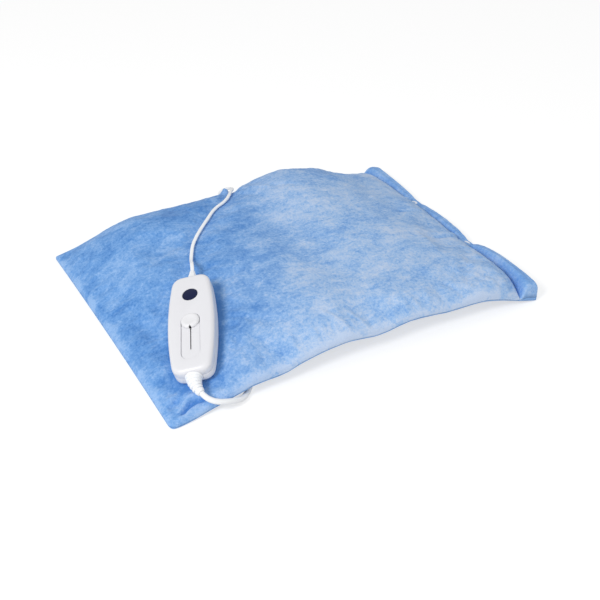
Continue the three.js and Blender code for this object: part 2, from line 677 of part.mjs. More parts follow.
const SCREW_PLACES = [-1, 1].flatMap((end) => [-1, 1].map((side) => [
  side * BOSS_SIDE,
  end * (CASE_LENGTH / 2 - BOSS_FROM_END),
]));

// Outline that is widest in the middle and has round corners
function barrelShape(inset) {
  const endY = CASE_LENGTH / 2 - inset;
  const endX = CASE_END_WIDTH / 2 - inset;
  const corner = CASE_CORNER - inset;
  const sideY = endY - corner;
  const bulge = CASE_WIDTH - 2 * inset - endX; // control point of the bulging side
  const cornerX = endX - ((endY - sideY) * (bulge - endX)) / sideY;
  const flatX = cornerX - corner;
  const shape = new THREE.Shape();
  shape.moveTo(-flatX, -endY);
  shape.lineTo(flatX, -endY);
  shape.quadraticCurveTo(cornerX, -endY, endX, -sideY);
  shape.quadraticCurveTo(bulge, 0, endX, sideY);
  shape.quadraticCurveTo(cornerX, endY, flatX, endY);
  shape.lineTo(-flatX, endY);
  shape.quadraticCurveTo(-cornerX, endY, -endX, sideY);
  shape.quadraticCurveTo(-bulge, 0, -endX, -sideY);
  shape.quadraticCurveTo(-cornerX, -endY, -flatX, -endY);
  return shape;
}

// Barrel with rounded upper and lower edges, between two heights
function barrel(inset, low, high, edge, edgeSteps) {
  const options = {
    depth: high - low - 2 * edge,
    curveSegments: 5,
    bevelEnabled: true,
    bevelThickness: edge,
    bevelSize: edge,
    bevelOffset: -edge,
    bevelSegments: edgeSteps,
  };
  return new THREE.ExtrudeGeometry(barrelShape(inset), options).translate(0, 0, low + edge);
}

// Stadium along y from one round end's outermost point to the other's
function stadium(width, startY, endY, low, high, segments) {
  const radius = width / 2;
  const shape = new THREE.Shape();
  shape.absarc(0, endY - radius, radius, 0, Math.PI);
  shape.absarc(0, startY + radius, radius, Math.PI, 2 * Math.PI);
  const options = { depth: high - low, bevelEnabled: false, curveSegments: segments };
  return new THREE.ExtrudeGeometry(shape, options).translate(0, 0, low);
}

function makeCase(controller) {
  const inner = barrel(CASE_WALL, CASE_WALL, LID_LOW, CASE_INNER_EDGE, 1);
  const shell = cut(toSolid(barrel(0, 0, CASE_HEIGHT, CASE_EDGE, 3)), inner);
  const reach = 2 * CASE_LENGTH;
  const below = box([reach, reach, reach], [0, 0, CASE_PART + GAP / 2 - reach / 2]);
  const above = box([reach, reach, reach], [0, 0, CASE_PART - GAP / 2 + reach / 2]);
  const necks = [[PAD_RELIEF_NECK, 1], [MAINS_RELIEF_NECK, -1]].map(([radius, end]) => {
    const hole = new THREE.CylinderGeometry(radius + GAP, radius + GAP, CASE_CORNER, 16);
    return hole.translate(0, end * (CASE_LENGTH / 2), CASE_PART);
  });

  const slotFar = KNOB_Y + STEM_LENGTH / 2 + KNOB_SIDE_ROOM;
  const slotNear = KNOB_Y - TRAVEL - STEM_LENGTH / 2 - KNOB_SIDE_ROOM;
  const lensSeat = CASE_HEIGHT + LENS_PROUD - LENS_THICKNESS - GAP;
  let top = cut(
    shell,
    below,
    ...necks,
    post(LENS_RADIUS + GAP, 0, LENS_Y, lensSeat, 2 * CASE_HEIGHT, 28),
    post(LENS_RADIUS - LENS_LEDGE, 0, LENS_Y, CASE_PART, CASE_HEIGHT, 28),
    stadium(RECESS_WIDTH, RECESS_END, RECESS_END + RECESS_LENGTH, RECESS_FLOOR, 2 * CASE_HEIGHT, 9),
    box(
      [SLOT_WIDTH, slotFar - slotNear, CASE_HEIGHT],
      [0, (slotFar + slotNear) / 2, CASE_HEIGHT],
    ),
  );
  let bottom = cut(shell, above, ...necks);
  for (const [x, y] of SCREW_PLACES) {
    const overlap = CASE_WALL / 2;
    top = join(top, post(BOSS_RADIUS - GAP, x, y, CASE_PART + GAP / 2, LID_LOW + overlap));
    top = cut(top, post(SCREW_SHANK_RADIUS + GAP, x, y, CASE_PART - GAP, CASE_PART + SCREW_BITE + GAP));
    bottom = join(bottom, post(BOSS_RADIUS, x, y, overlap, CASE_PART - GAP / 2));
    bottom = cut(
      bottom,
      post(SCREW_SHANK_RADIUS + GAP, x, y, -GAP, CASE_PART),
      post(SCREW_HEAD_RADIUS + GAP, x, y, -GAP, SCREW_SINK),
    );
  }
  for (const sideX of [-1, 1]) {
    for (const sideY of [-1, 1]) {
      const x = sideX * (BOARD_WIDTH / 2 - BOARD_POST_INSET);
      const y = sideY * (BOARD_LENGTH / 2 - BOARD_POST_INSET);
      bottom = join(bottom, post(BOARD_POST_RADIUS, x, y, CASE_WALL / 2, BOARD_LOW - GAP, 12));
    }
  }
  addPiece('case_top', toGeometry(top), whiteGloss, controller);
  addPiece('case_bottom', toGeometry(bottom), whiteGloss, controller);

  SCREW_PLACES.forEach(([x, y], k) => {
    const headHigh = SCREW_SINK - GAP;
    const profile = [
      [0, headHigh - SCREW_HEAD_HEIGHT], [SCREW_HEAD_RADIUS, headHigh - SCREW_HEAD_HEIGHT],
      [SCREW_HEAD_RADIUS, headHigh], [SCREW_SHANK_RADIUS, headHigh],
      [SCREW_SHANK_RADIUS, CASE_PART + SCREW_BITE], [0, CASE_PART + SCREW_BITE],
    ];
    addPiece(`case_screw_${k + 1}`, turnedUpright(profile, 12, x, y), steel, controller);
  });
}

function makeIndicator(controller) {
  const high = CASE_HEIGHT + LENS_PROUD;
  const profile = [
    [0, high - LENS_THICKNESS], [LENS_RADIUS, high - LENS_THICKNESS], [LENS_RADIUS, high - LENS_PROUD],
    [LENS_RADIUS - LENS_PROUD, high], [0, high + LENS_PROUD],
  ];
  addPiece('indicator_lens', turnedUpright(profile, 28, 0, LENS_Y), lensBlue, controller);
  const ledHigh = high - LENS_THICKNESS - LED_ROOM;
  const ledProfile = [
    [0, MOUNTED], [LED_RADIUS, MOUNTED], [LED_RADIUS, ledHigh - LED_RADIUS],
    [LED_RADIUS * ROUND_SHARE, ledHigh - LED_RADIUS * (1 - ROUND_SHARE)], [0, ledHigh],
  ];
  addPiece('indicator_led', turnedUpright(ledProfile, 12, 0, LENS_Y), ledRed, controller);
}

function makeSlider(controller) {
  const low = RECESS_FLOOR + GAP;
  const high = low + KNOB_HEIGHT;
  const profile = [
    [0, low], [KNOB_RADIUS, low], [KNOB_RADIUS, high - KNOB_ROUNDING],
    [KNOB_RADIUS - KNOB_ROUNDING * (1 - ROUND_SHARE), high - KNOB_ROUNDING * (1 - ROUND_SHARE)],
    [KNOB_RADIUS - KNOB_ROUNDING, high], [KNOB_RADIUS - 2 * KNOB_ROUNDING, high - KNOB_DISH / 2],
    [0, high - KNOB_DISH],
  ];
  const stemLow = ACTUATOR_LOW + GAP;
  const overlap = KNOB_HEIGHT / 2;
  const stem = box(
    [STEM_WIDTH, STEM_LENGTH, low + overlap - stemLow],
    [0, KNOB_Y, (low + overlap + stemLow) / 2],
  );
  const knob = join(toSolid(turnedUpright(profile, 28, 0, KNOB_Y)), stem);
  addPiece('slider_knob', toGeometry(knob), whiteGloss, controller);

  const stemRoom = [STEM_WIDTH + 2 * GAP, STEM_LENGTH + 2 * GAP, 2 * ACTUATOR_HEIGHT];
  const centre = [0, KNOB_Y, ACTUATOR_LOW + ACTUATOR_HEIGHT / 2];
  const block = toSolid(box([ACTUATOR_WIDTH, ACTUATOR_LENGTH, ACTUATOR_HEIGHT], centre));
  addPiece('switch_actuator', toGeometry(cut(block, box(stemRoom, centre))), blackPlastic, controller);
}

// Box that stands on the board, by its corner nearest the mains end
function onBoard(size, x, nearY) {
  return box(size, [x, nearY + size[1] / 2, MOUNTED + size[2] / 2]);
}

function makeBoard(controller) {
  const boardZ = BOARD_LOW + BOARD_THICKNESS / 2;
  const board = box([BOARD_WIDTH, BOARD_LENGTH, BOARD_THICKNESS], [0, 0, boardZ]);
  addPiece('circuit_board', board, boardGreen, controller);
  const switchSize = [SWITCH_WIDTH, SWITCH_FAR - SWITCH_NEAR, SWITCH_HEIGHT];
  addPiece('slide_switch_body', onBoard(switchSize, 0, SWITCH_NEAR), blackPlastic, controller);
  const thyristorY = SWITCH_FAR + COMPONENT_ROOM;
  const thyristorSize = [THYRISTOR_WIDTH, THYRISTOR_DEPTH, TALL_PART_HEIGHT];
  addPiece('thyristor', onBoard(thyristorSize, 0, thyristorY), blackPlastic, controller);
  const capacitorX = (SWITCH_WIDTH + CAPACITOR_WIDTH) / 2 + COMPONENT_ROOM;
  const capacitorSize = [CAPACITOR_WIDTH, CAPACITOR_LENGTH, TALL_PART_HEIGHT];
  addPiece('capacitor', onBoard(capacitorSize, capacitorX, -CAPACITOR_LENGTH), boardGreen, controller);
  const fuse = new THREE.CylinderGeometry(FUSE_RADIUS, FUSE_RADIUS, FUSE_LENGTH, 12);
  const fuseX = -(SWITCH_WIDTH / 2 + FUSE_RADIUS + COMPONENT_ROOM);
  addPiece('fuse', fuse.translate(fuseX, -FUSE_LENGTH / 2, MOUNTED + FUSE_RADIUS), whiteSoft, controller);

  // A terminal clamps each cord just inside its strain relief, and a lead joins it to the board
  const terminalEnd = CASE_INNER_END - GAP - RELIEF_FLANGE - GAP;
  const terminalY = terminalEnd - TERMINAL_DEPTH / 2;
  const terminalLow = CASE_WALL + GAP;
  const terminalHigh = LID_LOW - TERMINAL_ROOM;
  const terminalSize = [TERMINAL_WIDTH, TERMINAL_DEPTH, terminalHigh - terminalLow];
  const terminalZ = (terminalLow + terminalHigh) / 2;
  addPiece('pad_terminal', box(terminalSize, [0, terminalY, terminalZ]), whiteSoft, controller);
  addPiece('mains_terminal', box(terminalSize, [0, -terminalY, terminalZ]), whiteSoft, controller);
  const leadStart = terminalEnd - TERMINAL_DEPTH - GAP;
  const leadZ = MOUNTED + GAP + LEAD_RADIUS;
  const leads = [
    ['pad_lead', LEAD_OFFSET, thyristorY + THYRISTOR_DEPTH + GAP, leadStart],
    ['mains_lead', 0, -leadStart, SWITCH_NEAR - GAP],
  ];
  for (const [name, x, low, high] of leads) {
    const lead = new THREE.CylinderGeometry(LEAD_RADIUS, LEAD_RADIUS, high - low, 8);
    addPiece(name, lead.translate(x, (low + high) / 2, leadZ), wireRed, controller);
  }
}

// Strain relief, turned about y: flange inside the wall, neck in it, and a taper outside with ribs
function reliefProfile(neck, base, tip, length, ribs) {
  const inner = -CASE_WALL - GAP;
  const profile = [
    [0, inner - RELIEF_FLANGE], [neck + RELIEF_FLANGE_STEP, inner - RELIEF_FLANGE],
    [neck + RELIEF_FLANGE_STEP, inner], [neck, inner], [neck, GAP],
  ];
  return profile.concat(taperProfile(base, tip, GAP, length, ribs));
}

// Tapered outline from a base to a tip on the axis, with ribs of even length
function taperProfile(base, tip, start, length, ribs) {
  const profile = [[base, start]];
  const pitch = length / (ribs + 1);
  for (let rib = 0; rib < ribs; rib += 1) {
    const crest = base + ((tip - base) * (rib + 1)) / (ribs + 1);
    const y = start + pitch * (rib + 1);
    const groove = crest - RIB_DEPTH;
    profile.push([crest, y - pitch * GROOVE_SHARES.start], [groove, y - pitch * GROOVE_SHARES.floor]);
    profile.push([groove, y - pitch * GROOVE_SHARES.rise], [crest, y + pitch * GROOVE_SHARES.rise]);
  }
  profile.push([tip, start + length], [0, start + length]);
  return profile;
}

// Curves what lies past a height of a piece turned about y, round a centre on one side of it
function curved(geometry, start, radius, side) {
  const position = geometry.attributes.position;
  for (let i = 0; i < position.count; i += 1) {
    const point = new THREE.Vector3().fromBufferAttribute(position, i);
    const turn = Math.max(point.y - start, 0) / radius;
    const fromCentre = radius - point.dot(side);
    point.addScaledVector(side, fromCentre * (1 - Math.cos(turn)));
    point.y = Math.min(point.y, start) + fromCentre * Math.sin(turn);
    position.setXYZ(i, ...point);
  }
  return geometry;
}

function makeReliefs(controller) {
  const padProfile = reliefProfile(PAD_RELIEF_NECK, PAD_RELIEF_BASE, PAD_RELIEF_TIP, PAD_RELIEF_LENGTH, 0);
  const padRelief = turned(padProfile, 16).translate(0, CASE_LENGTH / 2, CASE_PART);
  addPiece('strain_relief_pad', padRelief, whiteSoft, controller);
  const mainsProfile = reliefProfile(
    MAINS_RELIEF_NECK,
    MAINS_RELIEF_BASE,
    MAINS_RELIEF_TIP,
    MAINS_RELIEF_LENGTH,
    MAINS_RELIEF_RIBS,
  );
  const side = new THREE.Vector3(-Math.cos(MAINS_RELIEF_DROOP), 0, -Math.sin(MAINS_RELIEF_DROOP));
  const mainsRelief = curved(turned(mainsProfile, 14), GAP, MAINS_RELIEF_LENGTH / MAINS_RELIEF_BEND, side);
  mainsRelief.rotateZ(Math.PI).translate(0, -CASE_LENGTH / 2, CASE_PART);
  addPiece('strain_relief_mains', mainsRelief, whiteSoft, controller);
}

// The controller lies on the pad: its base touches the highest places under it
function placeController(controller) {
  const x = CONTROLLER_X_SHARE * PAD_LENGTH;
  const y = CONTROLLER_Y_SHARE * PAD_DEPTH;
  const up = new THREE.Vector3(-CONTROLLER_ROLL_SHARE, -CONTROLLER_PITCH_SHARE, 1).normalize();
  const headingX = Math.sin(CONTROLLER_HEADING);
  const headingY = Math.cos(CONTROLLER_HEADING);
  const climb = CONTROLLER_ROLL_SHARE * headingX + CONTROLLER_PITCH_SHARE * headingY;
  const along = new THREE.Vector3(headingX, headingY, climb).normalize();
  const across = new THREE.Vector3().crossVectors(along, up);
  const halfWidth = CASE_END_WIDTH / 2 - CASE_EDGE;
  const halfLength = CASE_LENGTH / 2 - CASE_EDGE;
  let height = 0;
  for (const a of gridLines(-halfWidth, halfWidth, 12)) {
    for (const b of gridLines(-halfLength, halfLength, 24)) {
      const offset = across.clone().multiplyScalar(a).addScaledVector(along, b);
      const surface = topside(...drawnOut(x + offset.x, y + offset.y));
      height = Math.max(height, surface - offset.z);
    }
  }
  controller.quaternion.setFromRotationMatrix(new THREE.Matrix4().makeBasis(across, along, up));
  controller.position.set(x, y, height + GAP / up.z);
}

function makeController() {
  const controller = new THREE.Group();
  placeController(controller);
  makeCase(controller);
  makeIndicator(controller);
  makeSlider(controller);
  makeBoard(controller);
  makeReliefs(controller);
  object.add(controller);
}

// Mains coil: spirals in on the lower layer, climbs, and spirals out on the upper layer
const COIL_PITCH = 2 * MAINS_RADIUS + COIL_SPACING;
const COIL_OUTER = COIL_MEAN_RADIUS + (COIL_PITCH * COIL_TURNS_PER_LAYER) / 2;
const COIL_LOW = TIE_THICKNESS + TIE_ROOM + MAINS_RADIUS;

function coilPoint(turn) {
  const inward = Math.min(turn, 2 * COIL_TURNS_PER_LAYER - turn);
  const radius = COIL_OUTER - COIL_PITCH * inward;
  const angle = COIL_START + 2 * Math.PI * turn;
  const climb = smooth(2 * (turn - COIL_TURNS_PER_LAYER) + 1 / 2);
  return new THREE.Vector3(
    COIL_CENTRE[0] + radius * Math.cos(angle),
    COIL_CENTRE[1] + radius * Math.sin(angle),
    COIL_LOW + COIL_PITCH * climb,
  );
}

function coilPoints() {
  const steps = 2 * COIL_TURNS_PER_LAYER * COIL_STEPS_PER_TURN;
  const points = [];
  for (let step = 0; step <= steps; step += 1) points.push(coilPoint(step / COIL_STEPS_PER_TURN));
  const straight = (from, to) => to.clone().sub(from).normalize().multiplyScalar(2 * MAINS_RADIUS).add(to);
  points.unshift(straight(points[1], points[0]));
  points.push(straight(points[points.length - 2], points[points.length - 1]));
  return points;
}

// Least distance between stretches of the coil that are a third of a turn or more apart
function leastCoilGap(points) {
  let least = Infinity;
  const apart = COIL_STEPS_PER_TURN / 3;
  for (let i = 0; i < points.length; i += 1) {
    for (let k = i + apart; k < points.length; k += 1) {
      least = Math.min(least, points[i].distanceTo(points[k]));
    }
  }
  return least - 2 * MAINS_RADIUS;
}

function makeCoil() {
  const points = coilPoints();
  console.log('least gap of the mains coil to itself:', leastCoilGap(points).toFixed(2), 'mm');
  addPiece('mains_coil', levelTube(points, MAINS_RADIUS, 6), whiteSoft);

  // The tie is a flat loop round all the turns
  const outerTurn = TIE_TURN_SHARE;
  const innerTurn = outerTurn + Math.floor(COIL_TURNS_PER_LAYER);
  const outer = COIL_OUTER - COIL_PITCH * outerTurn + MAINS_RADIUS + TIE_ROOM;
  const inner = COIL_OUTER - COIL_PITCH * innerTurn - MAINS_RADIUS - TIE_ROOM;
  const high = COIL_LOW + COIL_PITCH + MAINS_RADIUS + TIE_ROOM;
  const loop = new THREE.Shape();
  loop.moveTo(inner - TIE_THICKNESS, 0);
  loop.lineTo(outer + TIE_THICKNESS, 0);
  loop.lineTo(outer + TIE_THICKNESS, high + TIE_THICKNESS);
  loop.lineTo(inner - TIE_THICKNESS, high + TIE_THICKNESS);
  const opening = new THREE.Path();
  opening.moveTo(inner, TIE_THICKNESS);
  opening.lineTo(inner, high);
  opening.lineTo(outer, high);
  opening.lineTo(outer, TIE_THICKNESS);
  loop.holes.push(opening);
  const tie = new THREE.ExtrudeGeometry(loop, { depth: TIE_WIDTH, bevelEnabled: false });
  tie.translate(0, 0, -TIE_WIDTH / 2).rotateX(Math.PI / 2);
  tie.rotateZ(COIL_START + 2 * Math.PI * TIE_TURN_SHARE).translate(...COIL_CENTRE, 0);
  addPiece('coil_tie', tie, blackPlastic);
}

// Two-pin plug, in its own frame: y towards the cord, pins towards -y
function makePlug() {
  const plug = new THREE.Group();
  plug.position.set(...PLUG_CENTRE, PLUG_THICKNESS / 2);
  plug.rotation.z = PLUG_HEADING;
  const halfLength = PLUG_LENGTH / 2;
  const shoulderY = -halfLength + PLUG_LENGTH / 3;
  const shape = new THREE.Shape();
  shape.moveTo(-PLUG_WIDTH / 2, -halfLength);
  shape.lineTo(PLUG_WIDTH / 2, -halfLength);
  shape.lineTo(PLUG_WIDTH / 2, shoulderY);
  shape.lineTo(PLUG_NECK_WIDTH / 2, halfLength);
  shape.lineTo(-PLUG_NECK_WIDTH / 2, halfLength);
  shape.lineTo(-PLUG_WIDTH / 2, shoulderY);
  const options = {
    depth: PLUG_THICKNESS - 2 * PLUG_EDGE,
    bevelEnabled: true,
    bevelThickness: PLUG_EDGE,
    bevelSize: PLUG_EDGE,
    bevelOffset: -PLUG_EDGE,
    bevelSegments: 2,
  };
  const body = new THREE.ExtrudeGeometry(shape, options).translate(0, 0, PLUG_EDGE - PLUG_THICKNESS / 2);
  const pinSides = [-1, 1];
  const bore = (side) => {
    const hole = new THREE.CylinderGeometry(PIN_RADIUS + GAP, PIN_RADIUS + GAP, 2 * (PIN_ROOT + GAP), 14);
    return hole.translate((side * PIN_SPACING) / 2, -halfLength, 0);
  };
  addPiece('plug_body', toGeometry(cut(toSolid(body), ...pinSides.map(bore))), whiteSoft, plug);
  pinSides.forEach((side, k) => {
    const profile = [
      [0, -PIN_LENGTH], [PIN_RADIUS - PIN_TIP, -PIN_LENGTH], [PIN_RADIUS, PIN_TIP - PIN_LENGTH],
      [PIN_RADIUS, PIN_ROOT], [0, PIN_ROOT],
    ];
    const pin = turned(profile, 14).translate((side * PIN_SPACING) / 2, -halfLength, 0);
    addPiece(`plug_pin_${k + 1}`, pin, pinBrass, plug);
  });
  const taper = [[0, GAP]].concat(
    taperProfile(PLUG_RELIEF_BASE, PLUG_RELIEF_TIP, GAP, PLUG_RELIEF_LENGTH, PLUG_RELIEF_RIBS),
  );
  addPiece('plug_relief', turned(taper, 12).translate(0, halfLength, 0), whiteSoft, plug);
  object.add(plug);
}

function makeCords() {
  addPiece('pad_cord', cordTube(PAD_CORD_ROUTE, PAD_CORD_RADIUS, 8, 3 * PAD_CORD_RADIUS), whiteSoft);
  addPiece('mains_cord', cordTube(MAINS_ROUTE, MAINS_RADIUS, 8, 4 * MAINS_RADIUS), whiteSoft);
  addPiece('plug_cord', cordTube(PLUG_CORD_ROUTE, MAINS_RADIUS, 8, 4 * MAINS_RADIUS), whiteSoft);
}

makeCovers();
makeClosure();
makeInnerPad();
makeCordEntry();
makeController();
makeCoil();
makePlug();
makeCords();

export default object;
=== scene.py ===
"""Heating pad in a plush cover, with a slide controller and a coiled mains lead.

Everything is worked out in millimetres in the CAD's frame and made in metres.
"""
import math

import bmesh
import bpy
import numpy as np
from mathutils import Matrix, Vector, noise


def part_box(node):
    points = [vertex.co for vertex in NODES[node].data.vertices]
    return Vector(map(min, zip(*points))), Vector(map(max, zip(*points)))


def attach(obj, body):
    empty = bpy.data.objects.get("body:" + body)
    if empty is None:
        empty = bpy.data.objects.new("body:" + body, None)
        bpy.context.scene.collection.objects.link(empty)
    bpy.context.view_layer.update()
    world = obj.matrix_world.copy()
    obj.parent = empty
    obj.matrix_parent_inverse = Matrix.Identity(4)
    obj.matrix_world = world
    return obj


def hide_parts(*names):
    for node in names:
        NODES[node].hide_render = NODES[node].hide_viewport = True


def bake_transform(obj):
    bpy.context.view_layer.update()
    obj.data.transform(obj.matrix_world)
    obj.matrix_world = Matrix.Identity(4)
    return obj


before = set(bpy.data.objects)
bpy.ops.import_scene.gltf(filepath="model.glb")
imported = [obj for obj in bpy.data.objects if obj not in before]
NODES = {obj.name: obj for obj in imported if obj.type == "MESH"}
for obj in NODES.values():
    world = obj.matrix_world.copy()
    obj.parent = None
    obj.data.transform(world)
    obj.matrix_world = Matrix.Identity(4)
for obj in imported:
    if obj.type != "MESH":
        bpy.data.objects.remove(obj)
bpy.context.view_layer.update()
MM = 0.001

# Sizes of the pad, as in the CAD
LENGTH, DEPTH = 450.0, 350.0
SIDE_DRAW, EDGE_DRAW = 1.5, 8.0
CLOTH, GAP = 2.0, 0.3
SEAM = 2 * CLOTH + GAP
CROWN = 18.0
SEAM_MARGIN = 6.0
SIDE_RUN, EDGE_RUN, HEM_RUN = 89.0, 64.0, 30.0
FLAT_CUT = 0.5
HEM_WIDTH = 25.0
CREASE_X = LENGTH / 2 - HEM_WIDTH
HEM_START = CREASE_X + 0.6
FRONT_ARCH = (20.5, -0.5, 0.33, 0.52, 0.2)
BACK_ARCH = (27.0, -0.522, 0.244, 0.427, 0.178)
FRONT_FOLD = (9.5, -0.078, 0.156)
BACK_FOLD = (13.0, 0.142, 0.173)
BAND_SWELL, FLAP_SWELL, CORNER_SWELL = 3.0, 3.2, 8.0
HEM_CLIMB, END_FADE = 8.0, 32.0
CORNER_START_SHARE, CORNER_CLIMB_SHARE = 0.11, 0.23

# The rest of the pad's form is in the render alone. First the fuller swell from the seams, and the
# rounding of the sheets' edges with the share of their height that stays upright
FULL_MARGIN, FULL_SIDE_RUN, FULL_HEM_RUN, FULL_EDGE_RUN, FULL_CORNER_GAIN = 0.4, 95.0, 22.0, 70.0, 36.0
END_ROUNDING, EDGE_ROUNDING, LIP_SHARE = 2.2, 1.8, 0.35
# How far the front edge lifts or sags beyond the CAD's, along the pad
SAG_START, SAG_RUN = 95.0, 70.0
SAG_PLACES = (-136, -122, -108, -95, -80, -50, -35, -20, -5, 10, 25, 40, 55, 70, 86, 102, 135, 160)
SAG_HEIGHTS = (0, -2, -4.5, -5.5, -4, -5, -5, -3.5, -3, -2.2, 0.5, 3.5, 5.2, 4.5, 3, 0.8, 0.8, 0)
# Along the hem, from the front to the back: how far the padding pushes the crease out, how far its
# side hangs out past the crease, and how much the hem puffs up between the snaps
LEAN_PLACES, LEAN = (-175, -166, -150, -120, 120, 150, 175), (0.5, 2.5, 5.5, 8.0, 8.0, 6.0, 3.0)
HANG_PLACES = (-175, -162, -140, -100, -70, -30, 10, 60, 75, 140, 175)
HANG = (0.0, 1.5, 3.2, 3.2, 2.2, 3.0, 6.0, 6.5, 4.5, 4.0, 3.0)
PUFF_PLACES = (-175, -166, -150, -95, -75, -62, -56, -42, -36, -22, 5, 30, 50, 58, 72, 82, 110, 160, 175)
PUFF_HEIGHTS = (3.5, 5.5, 7, 7, 6, 3.5, 0.3, 0.3, 3, 5.5, 6.5, 5, 2.5, 0.3, 0.3, 2.5, 4.3, 4.3, 3)
# Where the puffs, the lean and the plump side start along the pad, and over what length they grow
PUFF_START, PUFF_CLIMB = 3.0, 11.0
LEAN_START, LEAN_CLIMB, SIDE_START, SIDE_CLIMB, SIDE_END = 150.0, 46.0, 160.0, 34.0, 4.5
# How far the left side and the front left corner spread, over what length, and the corners' rounding
LEFT_SPREAD, LEFT_REACH, FRONT_SPREAD, FRONT_REACH = 5.5, 30.0, 3.0, 45.0
CORNERS = ((-1, -1, 8.0), (-1, 1, 2.0), (1, 1, 14.0), (1, -1, 3.0))

# Stitches: their length, their places along and across the hem, and the room that they leave the snaps
STITCH_LENGTH, STITCH_SPACING, STITCH_HALF, STITCH_RISE, STITCH_LIFT = 2.8, 3.9, 0.42, 0.34, -0.05
STITCH_INSETS, SNAP_ROOM, HEM_TURN = (7.5, 10.0), 7.0, 5.0

# The thin cord's sleeve in the back seam, the stretch of seam that bulges round it, the pinch of
# cloth beside it, and how far the snaps' studs press into the lower hem
SLEEVE_X, SLEEVE_Z = -10.0, 28.7
SLEEVE_HALF, SLEEVE_START, BULGE_START, BULGE_CLIMB = 9.0, 140.0, 148.0, 7.0
BULGE_OUTER, BULGE_INNER, BULGE_LEAST = (5.3, 5.0), (4.6, 3.8), 1.4
TUCK_X, TUCK_HALF, TUCK_HEIGHT, TUCK_CLIMB = -8.0, 5.6, 8.5, 13.0
STUD_PRESS, STUD_PRESS_HALF = 0.7, 7.5

# Sizes of the controller, as in the CAD but for the knob's radius and the slot's width
CASE_LENGTH, CASE_WIDTH, CASE_END_WIDTH, CASE_HEIGHT = 137.0, 51.0, 43.0, 21.0
CASE_CORNER, CASE_EDGE, CASE_WALL, CASE_LID = 12.0, 5.0, 2.2, 2.6
LENS_RADIUS, LENS_FROM_END = 8.2, 30.0
RECESS_WIDTH, RECESS_LENGTH, RECESS_DEPTH = 20.6, 63.5, 1.4
RECESS_END = -CASE_LENGTH / 2 + 15.5
KNOB_RADIUS, KNOB_HEIGHT, TRAVEL = 9.9, 3.9, 36.0
SLOT_WIDTH, SLOT_SPARE, STEM_WIDTH, STEM_LENGTH, STEM_LOW = 1.05, 3.0, 0.7, 5.0, 14.0
PARTING, SCREW_HOLE, SCREW_SINK = 0.35, 1.4, 2.8
KNOB_Y = RECESS_END + RECESS_LENGTH - 10.7
LENS_Y = CASE_LENGTH / 2 - LENS_FROM_END

# Strain reliefs: the neck in the case's end, then with the radius of the base and of the tip, and the
# length. PLUG_RELIEF has no neck. One rib's outline is given from its crest and in shares of the pitch
PAD_NECK, MAINS_NECK, MAINS_RELIEF_LENGTH = 3.6, 3.9, 21.0
PAD_RELIEF, PAD_FLUTES = (PAD_NECK, 6.6, 2.7, 15.0), 10
MAINS_RELIEF, MAINS_RIBS = (MAINS_NECK, 9.0, 4.3, MAINS_RELIEF_LENGTH), 5
PLUG_RELIEF, PLUG_RIBS = (0, 5.2, 4.2, 24.0), 4
RIB_STEPS = (
    (0.1, -0.5), (0, -0.4), (-0.65, -0.33), (-1.3, -0.28),
    (-1.3, -0.04), (-0.65, 0), (-0.05, 0.06), (0.02, 0.16),
)
MAINS_DROOP, MAINS_BEND = math.radians(30), math.radians(42)

# Sizes of the cords and the plug, as in the CAD
PAD_CORD_RADIUS, MAINS_RADIUS = 2.1, 3.0
COIL_TURNS_PER_LAYER, COIL_MEAN_RADIUS, COIL_SPACING = 3.5, 36.0, 0.5
COIL_CENTRE = (-52.0, -66.0)
COIL_START = math.radians(262)
COIL_STEPS = 24
TIE_THICKNESS, TIE_ROOM = 0.8, 0.7
PLUG_CENTRE, PLUG_HEADING = (-55.0, 70.0), math.radians(190)
PLUG_WIDTH, PLUG_NECK, PLUG_LENGTH, PLUG_THICKNESS = 35.3, 16.0, 36.0, 13.7
PIN_RADIUS, PIN_LENGTH, PIN_SPACING, PIN_ROOT = 2.0, 19.0, 18.6, 8.0
PLUG_EDGE, GROOVE_RADIUS, GROOVE_PITCH, GROOVES = 2.0, 0.8, 1.9, 5

PAD_CORD_ROUTE = [
    (-128.5, -8.8, 57), (-126.9, -5.2, 57.7), (-124.2, 1.8, 58.3), (-121.4, 9, 56.2),
    (-118.4, 17, 51.8), (-114.8, 26, 48.7), (-109.6, 36.6, 48.6), (-102, 50.2, 49.5),
    (-91.8, 63.5, 50.3), (-78.5, 78, 51.1), (-64, 92.5, 51.6), (-51, 106, 51.4),
    (-40.5, 114.5, 51.1), (-30.5, 120.5, 50.6), (-21, 128.5, 49.8), (-13, 138.5, 48.1),
    (-6, 149.5, 45.2), (1, 160, 40.9), (4.4, 167, 38), (5.4, 173, 35.6), (3.6, 177.7, 33.7),
    (0, 180.3, 32), (-4.6, 180.5, 30.5), (-8.5, 177.8, 29.3), (-10, 173.6, 28.75),
    (-10, 170.3, 28.7),
]
MAINS_ROUTE = [
    (-191.2, -166.1, 24.3), (-190, -169.7, 23.1), (-187.3, -173.8, 21.1),
    (-182.9, -176.9, 18.9), (-177.3, -178.5, 16.7), (-170.8, -178.6, 14.3),
    (-164, -177.5, 11.5), (-157.4, -175.7, 8.5), (-151, -173, 5.9), (-144.6, -168.5, 4),
    (-138.2, -161.9, 3.4), (-124, -145, 3.3), (-106, -128, 3.5), (-87, -116.6, 4.2),
    (-72, -112.8, 4.5), (-64.9, -112.9, 4.5),
]
